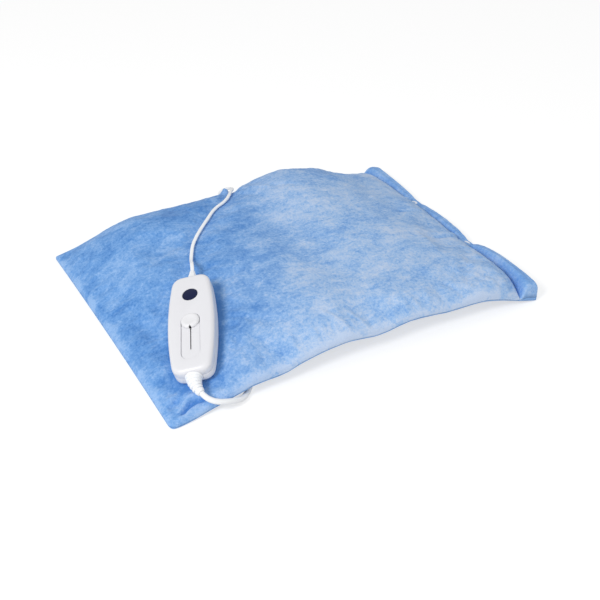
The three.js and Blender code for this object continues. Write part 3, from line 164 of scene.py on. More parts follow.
PLUG_CORD_ROUTE = [
    (-52.6, -114.7, 11), (-49.5, -115.6, 10.9), (-40, -117.6, 9.6), (-27, -117.5, 7.2),
    (-13, -113.2, 4.6), (-1, -104.5, 3.4), (7.5, -92, 3.2), (12, -77, 3.2), (13, -60, 3.2),
    (10.5, -43, 3.2), (3, -27, 3.2), (-9, -14, 3.25), (-23, -4.5, 3.3), (-34, 3.5, 4.2),
    (-42, 13, 5.6), (-46.5, 22, 6.7), (-47.6, 28, 6.85),
]


def add_object(name, data):
    obj = bpy.data.objects.new(name, data)
    bpy.context.scene.collection.objects.link(obj)
    return obj


# Camera, at the photograph's place. Its lens and sensor are in millimetres, the rest is in metres
CAMERA_LENS, CAMERA_SENSOR = 65.08, 36.0
CAMERA_AZIMUTH, CAMERA_ELEVATION, CAMERA_DISTANCE = math.radians(-28.80), math.radians(35.11), 1.2445
CAMERA_TARGET = Vector((-0.01224, -0.04253, 0.0))


def make_camera():
    data = bpy.data.cameras.new("camera")
    data.sensor_width = CAMERA_SENSOR
    data.lens = CAMERA_LENS
    data.clip_start = 0.01
    camera = add_object("camera", data)
    away = Vector((
        math.cos(CAMERA_ELEVATION) * math.sin(CAMERA_AZIMUTH),
        -math.cos(CAMERA_ELEVATION) * math.cos(CAMERA_AZIMUTH),
        math.sin(CAMERA_ELEVATION),
    ))
    camera.location = CAMERA_TARGET + away * CAMERA_DISTANCE
    camera.rotation_euler = (-away).to_track_quat("-Z", "Y").to_euler()
    bpy.context.scene.camera = camera


make_camera()


# Node materials
def rgb(*values):
    """Linear colour from sRGB values of 0 to 255."""
    return tuple(
        (v / 255 / 12.92) if v <= 10 else ((v / 255 + 0.055) / 1.055) ** 2.4 for v in values
    )


class Nodes:
    """The node tree of a material or of the world, with short calls for the nodes used here."""

    def __init__(self, name, world=None, **sockets):
        self.material = world or bpy.data.materials.new(name)
        self.material.use_nodes = True
        self.tree = self.material.node_tree
        self.shader = self.tree.nodes["Background" if world else "Principled BSDF"]
        self.set(self.shader, **sockets)
        self.place = self.add("ShaderNodeTexCoord").outputs["Object"]

    def add(self, kind, **settings):
        node = self.tree.nodes.new(kind)
        for key, value in settings.items():
            setattr(node, key, value)
        return node

    def feed(self, target, value):
        """Links a socket to another one, or gives it a number, a vector or a colour."""
        if isinstance(value, bpy.types.NodeSocket):
            self.tree.links.new(value, target)
        elif target.type == "RGBA":
            target.default_value = (*value, 1.0)
        else:
            target.default_value = value

    def set(self, node, **sockets):
        for key, value in sockets.items():
            self.feed(node.inputs[key.replace("_", " ")], value)

    def stretch(self, scale, turn=0.0):
        """The object's coordinates, scaled and turned about Z."""
        node = self.add("ShaderNodeMapping")
        self.set(node, Vector=self.place, Scale=scale, Rotation=(0, 0, turn))
        return node.outputs["Vector"]

    def noise(self, scale, detail=3.0, roughness=0.55, place=None, distortion=0.0):
        node = self.add("ShaderNodeTexNoise")
        self.set(node, Vector=place or self.place, Scale=scale, Detail=detail)
        self.set(node, Roughness=roughness, Distortion=distortion)
        return node.outputs["Fac"]

    def ramp(self, factor, *stops):
        """stops are (place, value), with a number for grey or a colour."""
        node = self.add("ShaderNodeValToRGB")
        ramp = node.color_ramp
        while len(ramp.elements) < len(stops):
            ramp.elements.new(0.5)
        for element, (place, value) in zip(ramp.elements, stops):
            element.position = place
            colour = value if hasattr(value, "__len__") else (value, value, value)
            element.color = (*colour, 1.0)
        self.set(node, Fac=factor)
        return node.outputs["Color"]

    def mix(self, factor, a, b, blend="MIX"):
        node = self.add("ShaderNodeMix", data_type="RGBA", blend_type=blend)
        for socket, value in ((0, factor), (6, a), (7, b)):
            self.feed(node.inputs[socket], value)
        return node.outputs[2]

    def maths(self, operation, *values):
        node = self.add("ShaderNodeMath", operation=operation)
        for socket, value in zip(node.inputs, values):
            self.feed(socket, value)
        return node.outputs[0]

    def weighted(self, *pairs):
        """Sum of values, each times its weight."""
        total = None
        for value, weight in pairs:
            part = self.maths("MULTIPLY", value, weight)
            total = part if total is None else self.maths("ADD", total, part)
        return total

    def colour(self, value):
        self.set(self.shader, Base_Color=value)

    def bump(self, height, distance, strength):
        node = self.add("ShaderNodeBump")
        self.set(node, Height=height, Distance=distance, Strength=strength)
        self.set(self.shader, Normal=node.outputs["Normal"])


# How much each size of unevenness shades the pile, and the painted light and shade of the rim attribute
# with it
PATCH_SHARE, STROKE_SHARE, TUFT_SHARE, PAINTED_LIGHT_SHARE, SHADE_SHIFT = 0.34, 0.4, 0.42, 0.11, -0.08
# The line across the pad on which the brushing turns and the painted sheen of the right side begins, in
# metres, and how ragged it is
TURN_SLOPE, TURN_RAGGED, TURN_START, TURN_END = 0.55, 0.22, -0.07, 0.2


def plush(name, left, right, contrast):
    """Short pile fabric. left and right are (deep, mid, pale) colours of the pad's two sides.

    The pile is brushed one way on the left and another on the right, and the right's paler blue is painted
    sheen, the light that pile shows there.
    """
    m = Nodes(name, Roughness=0.95, Specular_IOR_Level=0.12)
    m.set(m.shader, Sheen_Weight=0.16, Sheen_Roughness=0.5, Sheen_Tint=rgb(215, 228, 250))
    patches = m.noise(13.0, 4.0, 0.6, m.stretch((1.0, 1.3, 1.0), 0.5), 0.4)
    strokes = m.noise(48.0, 4.0, 0.62, m.stretch((1.0, 1.7, 1.0), 0.85), 0.6)
    tufts = m.noise(330.0, 3.0, 0.75)
    fibres = m.noise(1300.0, 2.0, 0.7)
    # The rim attribute holds painted light and shade: highlights on the rolled edges, the crease's
    # shoulder and fold ridges, shade in fold valleys and by the controller
    rim = m.add("ShaderNodeAttribute", attribute_name="rim").outputs["Fac"]
    value = m.weighted(
        (patches, PATCH_SHARE), (strokes, STROKE_SHARE), (tufts, TUFT_SHARE), (rim, PAINTED_LIGHT_SHARE)
    )
    value = m.maths("ADD", value, SHADE_SHIFT)
    low, high = 0.5 - 0.2 / contrast, 0.5 + 0.2 / contrast
    ramps = [
        m.ramp(value, (low, deep), (0.5, mid), (high, pale)) for deep, mid, pale in (left, right)
    ]
    place = m.add("ShaderNodeSeparateXYZ")
    m.set(place, Vector=m.place)
    slant = m.maths("MULTIPLY", place.outputs["Y"], TURN_SLOPE)
    across = m.maths("SUBTRACT", place.outputs["X"], slant)
    across = m.maths("ADD", across, m.maths("MULTIPLY", patches, TURN_RAGGED))
    # Mask of the right side's painted sheen
    side = m.add("ShaderNodeMapRange", interpolation_type="SMOOTHSTEP")
    m.set(side, Value=across, From_Min=TURN_START, From_Max=TURN_END)
    blue = m.mix(side.outputs["Result"], *ramps)
    grain = m.ramp(fibres, (0.3, (0.62, 0.74, 0.88)), (0.7, (1.0, 1.0, 1.0)))
    m.colour(m.mix(0.5, blue, grain, "MULTIPLY"))
    m.bump(m.weighted((tufts, 0.6), (fibres, 0.4)), 0.0012, 0.6)
    return m.material


def plastic(name, colour, roughness, grain=900.0, depth=0.00003, spread=0.02, **sockets):
    """Moulded plastic with a slight unevenness of colour, gloss and surface."""
    m = Nodes(name, Roughness=roughness, **sockets)
    cloud = m.noise(34.0, 3.0)
    shade = tuple(max(c * (1 - 2.4 * spread), 0.0) for c in colour)
    m.colour(m.mix(m.ramp(cloud, (0.35, 0.0), (0.65, 1.0)), shade, colour))
    low, high = max(roughness - 0.05, 0.02), roughness + 0.05
    m.set(m.shader, Roughness=m.ramp(m.noise(120.0, 3.0), (0.3, low), (0.7, high)))
    m.bump(m.noise(grain, 2.0), depth, 0.6)
    return m.material


def metal(name, colour, roughness):
    m = Nodes(name, Metallic=1.0)
    brushed = m.noise(500.0, 3.0, 0.6, m.stretch((1.0, 0.12, 1.0)))
    m.colour(m.mix(brushed, tuple(0.86 * c for c in colour), colour))
    m.set(m.shader, Roughness=m.ramp(brushed, (0.3, roughness - 0.07), (0.7, roughness + 0.1)))
    m.bump(brushed, 0.00002, 0.5)
    return m.material


def quilted(name):
    m = Nodes(name, Roughness=0.9, Sheen_Weight=0.1)
    weave = m.noise(900.0, 2.0)
    m.colour(m.mix(weave, rgb(226, 221, 208), rgb(246, 244, 236)))
    m.bump(weave, 0.0004, 0.6)
    return m.material


# The pad's two sides: the right's paler blues are painted sheen of the pile
LEFT_BLUES = (rgb(82, 139, 208), rgb(118, 169, 228), rgb(158, 196, 242))
RIGHT_BLUES = (rgb(120, 168, 228), rgb(166, 200, 240), rgb(204, 220, 244))
# A paler copy of the plush for the hem and the underside: painted light, as they lie in shade
HEM_BLUES = (rgb(100, 154, 222), rgb(140, 184, 236), rgb(184, 212, 246))
PLUSH = plush("plush", LEFT_BLUES, RIGHT_BLUES, 1.7)
PLUSH_UNDER = plush("plush_under", HEM_BLUES, HEM_BLUES, 0.8)
PLUSH_HEM = plush("plush_hem", HEM_BLUES, HEM_BLUES, 1.2)
THREAD = plastic("thread", rgb(116, 160, 220), 0.8, 2500.0, 0.0001)
WHITE_GLOSS = plastic("white_case", rgb(231, 231, 235), 0.33, 900.0, 0.000004, 0.003)
WHITE_KNOB = plastic("white_knob", rgb(234, 234, 237), 0.3, 900.0, 0.000004, 0.003)
WHITE_VINYL = plastic("white_vinyl", rgb(248, 250, 253), 0.4, 900.0, 0.00001, 0.005)
WHITE_SNAP = plastic("white_snap", rgb(232, 238, 247), 0.22, 600.0, 0.000004, 0.006)
# Painted shade: the dark fill of the knob's notch
NOTCH_SHADE = plastic("mark", rgb(22, 22, 26), 0.55, 900.0, 0.00001)
LENS = plastic("lens", rgb(9, 22, 66), 0.1, 300.0, 0.000004, 0.1, Specular_IOR_Level=0.16)
LED = plastic("led", rgb(196, 40, 30), 0.15, 400.0, 0.00001)
BOARD = plastic("board", rgb(38, 104, 66), 0.5, 600.0, 0.00003, 0.06)
BLACK = plastic("black_plastic", rgb(30, 30, 33), 0.5, 900.0, 0.00004, 0.05)
WIRE = plastic("wire", rgb(200, 86, 62), 0.5, 900.0, 0.00003, 0.03)
STEEL = metal("steel", (0.62, 0.63, 0.65), 0.3)
NICKEL = metal("nickel", (0.78, 0.77, 0.74), 0.2)
QUILT = quilted("quilt")


# Mesh helpers. Points are in millimetres and become metres here
def add_mesh(name, points, faces):
    mesh = bpy.data.meshes.new(name)
    mesh.from_pydata((np.asarray(points, float) * MM).tolist(), [], faces)
    return add_object(name, mesh)


def new_object(name, points, faces, material, sharp=None):
    obj = add_mesh(name, points, faces)
    obj.data.validate()
    finish_mesh(obj, material, sharp)
    return obj


def finish_mesh(obj, material, sharp=None):
    """Faces outwards, one material, and smooth shading up to the sharp angle in degrees."""
    mesh = obj.data
    bm = bmesh.new()
    bm.from_mesh(mesh)
    bmesh.ops.recalc_face_normals(bm, faces=bm.faces)
    bm.to_mesh(mesh)
    bm.free()
    mesh.materials.clear()
    mesh.materials.append(material)
    mesh.polygons.foreach_set("use_smooth", [True] * len(mesh.polygons))
    if sharp is not None:
        mesh.set_sharp_from_angle(angle=math.radians(sharp))
    mesh.update()


def ring_faces(rings, sides, closed_ends=True):
    """Faces of a tube of rings, with one face over each end."""
    faces = []
    for i in range(rings - 1):
        for k in range(sides):
            a, b = i * sides + k, i * sides + (k + 1) % sides
            faces.append((a, b, b + sides, a + sides))
    if closed_ends:
        faces.append(tuple(range(sides - 1, -1, -1)))
        last = (rings - 1) * sides
        faces.append(tuple(range(last, last + sides)))
    return faces


def apply_modifiers(obj):
    graph = bpy.context.evaluated_depsgraph_get()
    mesh = bpy.data.meshes.new_from_object(obj.evaluated_get(graph))
    obj.modifiers.clear()
    old = obj.data
    obj.data = mesh
    bpy.data.meshes.remove(old)


def combine(obj, operation, tools):
    for tool in tools:
        modifier = obj.modifiers.new("boolean", "BOOLEAN")
        modifier.object = tool
        modifier.operation = operation
        modifier.solver = "EXACT"
    apply_modifiers(obj)
    for tool in tools:
        bpy.data.objects.remove(tool)


def cut_with(obj, *tools):
    combine(obj, "DIFFERENCE", tools)


def joined(obj, *others):
    combine(obj, "UNION", others)


def circle(radius, sides, x=0.0, y=0.0):
    turns = [2 * math.pi * k / sides for k in range(sides)]
    return [(x + radius * math.cos(a), y + radius * math.sin(a)) for a in turns]


def lathe_points(profile, sides):
    """Rings about the y axis through (radius, y) places."""
    return [(a, y, b) for radius, y in profile for a, b in circle(radius, sides)]


def bezier(a, control, b, t):
    """Place at share t of a curve from a to b, drawn towards the control point."""
    return (1 - t) ** 2 * a + 2 * t * (1 - t) * control + t * t * b


def rounded_profile(corners, rounding, steps):
    """A (radius, y) outline with rounded inner corners. A corner's third value is its own rounding."""
    result = [corners[0][:2]]
    for before, here, after in zip(corners, corners[1:], corners[2:]):
        b, h, a = (np.array(p[:2], float) for p in (before, here, after))
        size = here[2] if len(here) > 2 else rounding
        size = min(size, np.linalg.norm(b - h) / 2, np.linalg.norm(a - h) / 2)
        start = h + (b - h) / np.linalg.norm(b - h) * size
        end = h + (a - h) / np.linalg.norm(a - h) * size
        result += [bezier(start, h, end, k / steps) for k in range(steps + 1)]
    result.append(corners[-1][:2])
    return [(float(radius), float(y)) for radius, y in result]


def lathe(name, corners, material, sides=32, rounding=0.3, steps=3, sharp=40):
    """Closed turned piece about the y axis. Its outline runs from axis to axis."""
    outline = rounded_profile(corners, rounding, steps)
    inner = [p for p in outline if p[0] > 1e-6]
    points = lathe_points(inner, sides)
    faces = ring_faces(len(inner), sides, False)
    for end, ring in ((outline[0], 0), (outline[-1], len(inner) - 1)):
        points.append((0.0, end[1], 0.0))
        centre = len(points) - 1
        for k in range(sides):
            a, b = ring * sides + k, ring * sides + (k + 1) % sides
            faces.append((a, b, centre))
    return new_object(name, points, faces, material, sharp=sharp)


def onto(obj, matrix):
    obj.data.transform(matrix)
    return obj


def turn_up(obj):
    """Turns a piece from the y axis to the z axis."""
    return onto(obj, Matrix.Rotation(math.radians(90), 4, "X"))


def move(obj, *place):
    return onto(obj, Matrix.Translation(Vector(place) * MM))


def put(obj, body, slot, *nodes):
    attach(obj, body)
    if nodes:
        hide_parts(*nodes)
    return obj


# Curves: the same centripetal curve as the CAD's, sampled evenly
def centripetal(route, step):
    points = [np.array(p, float) for p in route]
    ends = [2 * points[0] - points[1], *points, 2 * points[-1] - points[-2]]
    fine = []
    for p0, p1, p2, p3 in zip(ends, ends[1:], ends[2:], ends[3:]):
        d0, d1, d2 = (
            max(np.linalg.norm(b - a) ** 0.5, 1e-4) for a, b in ((p0, p1), (p1, p2), (p2, p3))
        )
        t1 = ((p1 - p0) / d0 - (p2 - p0) / (d0 + d1) + (p2 - p1) / d1) * d1
        t2 = ((p2 - p1) / d1 - (p3 - p1) / (d1 + d2) + (p3 - p2) / d2) * d1
        for k in range(24):
            t = k / 24
            fine.append(
                p1 + t1 * t
                + (-3 * p1 + 3 * p2 - 2 * t1 - t2) * t ** 2
                + (2 * p1 - 2 * p2 + t1 + t2) * t ** 3
            )
    fine.append(points[-1])
    return evenly(np.array(fine), step)


def evenly(points, step):
    lengths = np.concatenate([[0], np.cumsum(np.linalg.norm(np.diff(points, axis=0), axis=1))])
    count = max(int(round(lengths[-1] / step)), 2)
    at = np.linspace(0, lengths[-1], count + 1)
    return np.stack([np.interp(at, lengths, points[:, k]) for k in range(3)], axis=1)


def tube(name, line, section, material):
    """A tube along a line, with a section of (side, rise) points and closed ends."""
    tangent = np.gradient(line, axis=0)
    tangent /= np.linalg.norm(tangent, axis=1)[:, None]
    side = np.cross(tangent, (0, 0, 1))
    side /= np.linalg.norm(side, axis=1)[:, None]
    rise = np.cross(side, tangent)
    points = []
    for p, s, r in zip(line, side, rise):
        points.extend(tuple(p + s * a + r * b) for a, b in section)
    faces = ring_faces(len(line), len(section))
    return new_object(name, points, faces, material, sharp=60)


def twin(radius, offset, sides):
    """Section of a twin cord: two lobes side by side with a groove between them."""
    corners = []
    for sense in (1, -1):
        open_angle = math.acos(min(offset / radius, 1.0)) + math.radians(14)
        low, high = -math.pi + open_angle, math.pi - open_angle
        for k in range(sides):
            a = low + (high - low) * k / (sides - 1)
            corners.append((sense * (offset + radius * math.cos(a)), sense * radius * math.sin(a)))
    return corners


def ease(value):
    """0 to 1, slow at both ends, for a number or an array."""
    t = np.clip(value, 0.0, 1.0)
    return t * t * (3 - 2 * t)


def coil_line():
    """Middle line of the coil: one layer of turns inwards, then one outwards on top of it."""
    pitch = 2 * MAINS_RADIUS + COIL_SPACING
    outer = COIL_MEAN_RADIUS + pitch * COIL_TURNS_PER_LAYER / 2
    low = TIE_THICKNESS + TIE_ROOM + MAINS_RADIUS
    points = []
    for step in range(int(2 * COIL_TURNS_PER_LAYER * COIL_STEPS) + 1):
        turn = step / COIL_STEPS
        radius = outer - pitch * min(turn, 2 * COIL_TURNS_PER_LAYER - turn)
        angle = COIL_START + 2 * math.pi * turn
        climb = ease(2 * (turn - COIL_TURNS_PER_LAYER) + 0.5)
        points.append((
            COIL_CENTRE[0] + radius * math.cos(angle),
            COIL_CENTRE[1] + radius * math.sin(angle),
            low + pitch * climb,
        ))
    return points


def make_cords():
    """The mains lead runs in one piece from the controller through the coil to the plug."""
    route = MAINS_ROUTE[:-1] + coil_line() + PLUG_CORD_ROUTE[1:]
    line = centripetal(route, 4.0)
    lead = tube("mains_lead_cord", line, circle(MAINS_RADIUS, 16), WHITE_VINYL)
    put(lead, "pad", "white_soft", "mains_cord", "mains_coil", "plug_cord")
    thin = centripetal(PAD_CORD_ROUTE, 2.5)
    cord = tube("thin_cord", thin, twin(1.4, 0.7, 9), WHITE_VINYL)
    put(cord, "pad", "white_soft", "pad_cord")
    return lead, line, cord, thin


lead, lead_line, thin_cord, thin_line = make_cords()


# Pad form, as in the CAD, for arrays of places
def swell(value):
    t = np.clip(value, 0.0, 1.0)
    return np.sqrt(np.maximum(1 - (1 - t) ** 2, 0.0))


def arch(x, rise, start, climb, end, fall):
    return rise * ease((x / LENGTH - start) / climb) * ease((end - x / LENGTH) / fall)


def fold(x, rise, centre, half):
    return rise * (1 + np.cos(np.pi * np.minimum(np.abs(x / LENGTH - centre) / half, 1))) / 2


def underside(x, y):
    back = ease(y / DEPTH + 0.5)
    front_height = arch(x, *FRONT_ARCH) + fold(x, *FRONT_FOLD)
    back_height = arch(x, *BACK_ARCH) + fold(x, *BACK_FOLD)
    base = front_height * (1 - back) + back_height * back - FLAT_CUT
    sag = ease((-y - SAG_START) / SAG_RUN) * np.interp(x, SAG_PLACES, SAG_HEIGHTS)
    return np.maximum(base + sag, 0.0)


def padding(x, y, margin, side_run, hem_run, edge_run):
    """The padding's height over the seam's, from 0 to CROWN, as it rises over its runs."""
    return CROWN * (
        swell((x + LENGTH / 2 - margin) / side_run) * swell((CREASE_X - x) / hem_run)
        * swell((DEPTH / 2 - margin - np.abs(y)) / edge_run)
    )


def crown(x, y):
    """The padding as in the CAD."""
    return padding(x, y, SEAM_MARGIN, SIDE_RUN, HEM_RUN, EDGE_RUN)


def full_crown(x, y):
    """The same where nothing lies on it: it rolls round from the seams, and is fullest by the hem."""
    edge_run = FULL_EDGE_RUN - FULL_CORNER_GAIN * ease((x - 100) / 70) * ease((-y - 60) / 60)
    return padding(x, y, FULL_MARGIN, FULL_SIDE_RUN, FULL_HEM_RUN, edge_run)


def drawn_in(x, y):
    xs, ys = 2 * x / LENGTH, 2 * y / DEPTH
    return x - SIDE_DRAW * xs * (1 - ys ** 2), y - EDGE_DRAW * ys * (1 - xs ** 2)


def hem_share(x):
    return ease((x - HEM_START) / HEM_CLIMB)


def band_high(x, y):
    return underside(x, y) + CLOTH + BAND_SWELL * hem_share(x)


def flap_depth(x, y):
    corner = ease((-y / DEPTH - CORNER_START_SHARE) / CORNER_CLIMB_SHARE)
    end = ease(0.5 + (DEPTH / 2 - y) / END_FADE)
    puff = np.interp(y, PUFF_PLACES, PUFF_HEIGHTS) * ease((x - CREASE_X - PUFF_START) / PUFF_CLIMB)
    return CLOTH + hem_share(x) * (FLAP_SWELL * end + CORNER_SWELL * corner) + puff


def noise_field(x, y, scale, seed, stretch=(1.0, 1.0), turn=0.0):
    """Smooth noise from -1 to 1 over places, with features of about scale millimetres."""
    c, s = math.cos(turn), math.sin(turn)
    u = (x * c + y * s) / (scale * stretch[0])
    v = (-x * s + y * c) / (scale * stretch[1])
    flat = np.stack([u.ravel(), v.ravel()], axis=1)
    values = [noise.noise(Vector((a, b, 7.3 * seed))) for a, b in flat]
    return np.array(values).reshape(x.shape)


def edge_distance(x, y):
    """Distance to the nearest sewn edge, in the flat pad."""
    return np.minimum(x + LENGTH / 2, DEPTH / 2 - np.abs(y))


def lip(distance, radius):
    """Height share of a sheet whose edge is rounded over."""
    return LIP_SHARE + (1 - LIP_SHARE) * swell(distance / radius)


# Controller's own frame: x across, y along towards the thin cord, z up from its base
CONTROLLER_ORIGIN = Vector((-159.3, -83.685, 32.0339))
CONTROLLER_HEADING, CONTROLLER_HALF = math.radians(24.2), (25.0, 70.0)
ALONG = Vector((0.40337, 0.89754, 0.17809))
ACROSS = Vector((0.86656, -0.4372, 0.24067))
UPWARD = Vector((-0.29387, -0.05725, 0.95413))
CONTROLLER = Matrix.Translation(CONTROLLER_ORIGIN * MM) @ Matrix(
    (ACROSS, ALONG, UPWARD)
).transposed().to_4x4()


def cords_near(px, py):
    """Distance in plan from the middle line of the thin cord, which lies on the pad."""
    here = np.stack([px.ravel(), py.ravel()], axis=1)
    distance = np.full(len(here), 1e3)
    for place in thin_line[::2, :2]:
        distance = np.minimum(distance, np.hypot(*(here - place).T))
    return distance.reshape(px.shape)


def controller_near(px, py):
    """Distance in plan from the controller's outline, and 0 under it."""
    sine, cosine = math.sin(CONTROLLER_HEADING), math.cos(CONTROLLER_HEADING)
    dx, dy = px - CONTROLLER_ORIGIN[0], py - CONTROLLER_ORIGIN[1]
    along = np.abs(dx * sine + dy * cosine) - CONTROLLER_HALF[1]
    across = np.abs(dx * cosine - dy * sine) - CONTROLLER_HALF[0]
    return np.hypot(np.maximum(along, 0), np.maximum(across, 0))


def clear_share(px, py, reach=9.0):
    """0 where the controller or the thin cord lies on the cloth, and 1 where both are out of reach."""
    distance = np.minimum(controller_near(px, py), cords_near(px, py) - 3.0)
    return ease(distance / reach)


def near_line(x, y, line, width):
    """1 on a line of places, falling off beside it."""
    best = np.full(x.shape, 1e9)
    for (ax, ay), (bx, by) in zip(line, line[1:]):
        dx, dy = bx - ax, by - ay
        t = np.clip(((x - ax) * dx + (y - ay) * dy) / (dx * dx + dy * dy), 0, 1)
        best = np.minimum(best, (x - ax - t * dx) ** 2 + (y - ay - t * dy) ** 2)
    return np.exp(-best / width ** 2)


# Folds of the cloth: height, width, and the places that each runs through
FOLDS = [
    (-4.2, 2.1, [(-186, -166), (-193, -164), (-200, -162), (-206, -163.5), (-210, -167)]),
    (2.6, 2.6, [(-190, -159), (-198, -156), (-205, -157), (-210, -161)]),
    (2.0, 2.4, [(-196, -168), (-204, -168.5), (-214, -171)]),
    (-2.2, 2.4, [(-197, -142), (-206, -148), (-216, -154)]),
    (1.4, 3.4, [(-188, -136), (-202, -142), (-215, -148)]),
    (-1.2, 3.0, [(-204, -118), (-214, -124)]),
    (0.7, 2.8, [(-36, -138), (-26, -151), (-18, -167)]),
    (-0.5, 2.6, [(-29, -140), (-20, -152), (-12, -167)]),
    (0.6, 2.8, [(-10, -145), (-2, -156), (4, -169)]),
    (-0.5, 2.6, [(-3, -147), (4, -157), (10, -169)]),
    (1.0, 2.6, [(62, -148), (66, -158), (69, -170)]),
    (-1.1, 2.4, [(116, -146), (123, -158), (127, -170)]),
    (1.2, 2.6, [(158, -146), (167, -158), (172, -170)]),
    (-1.3, 2.4, [(178, -134), (185, -150), (188, -169)]),
    (1.8, 3.5, [(146, 58), (170, 65), (196, 68)]),
    (-1.6, 3.0, [(154, -44), (176, -48), (198, -49)]),
    (1.7, 3.2, [(156, -32), (178, -37), (198, -40)]),
    (-1.5, 3.0, [(162, 18), (182, 16), (198, 13)]),
    (-1.3, 3.2, [(-44, 118), (-24, 144), (-15, 168)]),
    (1.3, 3.2, [(32, 124), (15, 147), (4, 169)]),
]


def folded(x, y):
    """Height of all the folds together."""
    return sum(height * near_line(x, y, line, width) for height, width, line in FOLDS)


# Puckers: their width and how much longer they are, and for each edge their height, their middle's
# distance from it and their reach. Then the padding's unevenness and one crest near the hem
PUCKER_WIDTH, PUCKER_STRETCH = 10.0, 4.0
LONG_EDGE, LEFT_EDGE, CREASE_EDGE = (0.8, 10.0, 13.0), (0.8, 10.0, 14.0), (1.3, 8.0, 15.0)
BROAD, MIDDLING = (1.2, 62.0), (0.6, 27.0)
CREST_HEIGHT, CREST_PLACE, CREST_HALF = 3.0, (178.0, 36.0), (15.0, 24.0)


def beside(distance, height, middle, reach):
    return height * np.exp(-((distance - middle) / reach) ** 2)


def wrinkles(x, y):
    """Folds, puckers along the sewn edges and the crease, and soft unevenness of the padding."""
    d = edge_distance(x, y)
    main = ease((CREASE_X - 4 - x) / 12)
    along_front = noise_field(x, y, PUCKER_WIDTH, 1, (1.0, PUCKER_STRETCH))
    along_side = noise_field(x, y, PUCKER_WIDTH, 2, (PUCKER_STRETCH, 1.0))
    puckers = along_front * beside(DEPTH / 2 - np.abs(y), *LONG_EDGE)
    sides = beside(x + LENGTH / 2, *LEFT_EDGE) + beside(CREASE_X - x, *CREASE_EDGE)
    puckers = puckers + along_side * sides
    broad = BROAD[0] * noise_field(x, y, BROAD[1], 3)
    broad = broad + MIDDLING[0] * noise_field(x, y, MIDDLING[1], 4, (1.0, 1.7), 0.6)
    off = [(place - middle) / half for place, middle, half in zip((x, y), CREST_PLACE, CREST_HALF)]
    crest = CREST_HEIGHT * np.exp(-off[0] ** 2 - off[1] ** 2)
    return main * ease(d / 8) * (puckers + broad + crest) + ease(d / 5) * folded(x, y)


def nap(x, y):
    """Tufts of the short pile."""
    return 0.24 * noise_field(x, y, 3.6, 5) + 0.3 * noise_field(x, y, 11.0, 6, (1.0, 1.6), 0.7)


def by_sleeve(px, py):
    return (np.abs(px - SLEEVE_X) < SLEEVE_HALF) & (py > SLEEVE_START)


def tunnel(px, py, outer):
    """Height of the cloth's bulge round the sleeve of the thin cord."""
    half, height = BULGE_OUTER if outer else BULGE_INNER
    return height * np.exp(-((px - SLEEVE_X) / half) ** 2) * ease((py - BULGE_START) / BULGE_CLIMB)


def tuck(px, py):
    """The pinch of cloth that stands up beside the thin cord's entry."""
    return TUCK_HEIGHT * np.exp(-((px - TUCK_X) / TUCK_HALF) ** 2) * ease((py - BULGE_START) / TUCK_CLIMB)


def seam_top(x, y):
    """Height of what the top panel and the flap lie on at their edges."""
    return np.where(x > HEM_START, band_high(x, y) + GAP, underside(x, y) + CLOTH + GAP)


def top_low(x, y, px, py, tops):
    """The top sheet's inner side: a cloth's thickness below its outer side, and flat in the seams."""
    base = seam_top(x, y)
    base = np.where(x > HEM_START, base, np.maximum(base, tops - CLOTH))
    inner = tunnel(px, py, False)
    return np.where(by_sleeve(px, py) & (inner > BULGE_LEAST), np.maximum(base, SLEEVE_Z + inner), base)


def top_high(x, y, px, py, detail=True):
    depth = np.where(x > HEM_START, flap_depth(x, y), CLOTH)
    rounding = EDGE_ROUNDING + 0.22 * (depth - CLOTH)
    shape = np.minimum(lip(DEPTH / 2 - np.abs(y), rounding), lip(LENGTH / 2 - x, END_ROUNDING))
    shape = np.minimum(shape, np.where(x < 0, lip(x + LENGTH / 2, EDGE_ROUNDING), 1.0))
    # The panel rolls round from its seam, except where something lies on it
    free = clear_share(px, py)
    rolled = crown(x, y) + free * (full_crown(x, y) - crown(x, y))
    high = seam_top(x, y) + depth * shape + rolled
    if detail:
        edge = np.minimum(edge_distance(x, y), 12.0)
        valley = 0.6 * np.exp(-((x - CREASE_X - 0.3) / 0.9) ** 2)
        high = high + free * (wrinkles(x, y) + slack_at(x, y)) - valley
        by_crease = ease((np.abs(x - CREASE_X) - 2) / 5)
        high = high + free * by_crease * ease(edge / 2.5) * nap(x, y)
    high = high + tuck(px, py) * ease((cords_near(px, py) - 2.4) / 2.5)
    return np.where(by_sleeve(px, py), np.maximum(high, SLEEVE_Z + tunnel(px, py, True)), high)


def lean(x, y):
    """How far the padding pushes the crease out over the hem, along the pad."""
    return np.interp(y, LEAN_PLACES, LEAN) * ease((x - LEAN_START) / LEAN_CLIMB) * ease(
        (LENGTH / 2 - x) / HEM_WIDTH
    )


def side_share(x):
    """1 on the padding's side above the crease."""
    return ease((x - SIDE_START) / SIDE_CLIMB) * ease((CREASE_X + 0.4 - x) / SIDE_END)


def overhang(x, y):
    """How far its plump side hangs out past the crease."""
    return np.interp(y, HANG_PLACES, HANG) * side_share(x)


def placed(x, y, bulging=False):
    """Drawn-in place of a flat place, with the padding's lean and the corners rounded off."""
    px, py = drawn_in(x, y)
    px = px + lean(x, y) + (overhang(x, y) if bulging else 0)
    by_left, by_corner = (ease(1 - (x + LENGTH / 2) / reach) for reach in (LEFT_REACH, FRONT_REACH))
    px = px - LEFT_SPREAD * by_left
    py = py - FRONT_SPREAD * by_corner * ease(1 - (y + DEPTH / 2) / LEFT_REACH)
    for sx, sy, size in CORNERS:
        u = np.clip((sx * x - LENGTH / 2) / size + 1, 0, 1)
        v = np.clip((sy * y - DEPTH / 2) / size + 1, 0, 1)
        px = px - sx * size * u * (1 - np.sqrt(1 - v * v / 2))
        py = py - sy * size * v * (1 - np.sqrt(1 - u * u / 2))
    return px, py


def grid_quads(index):
    corners = index[:-1, :-1], index[1:, :-1], index[1:, 1:], index[:-1, 1:]
    return np.stack(corners, axis=-1).reshape(-1, 4)


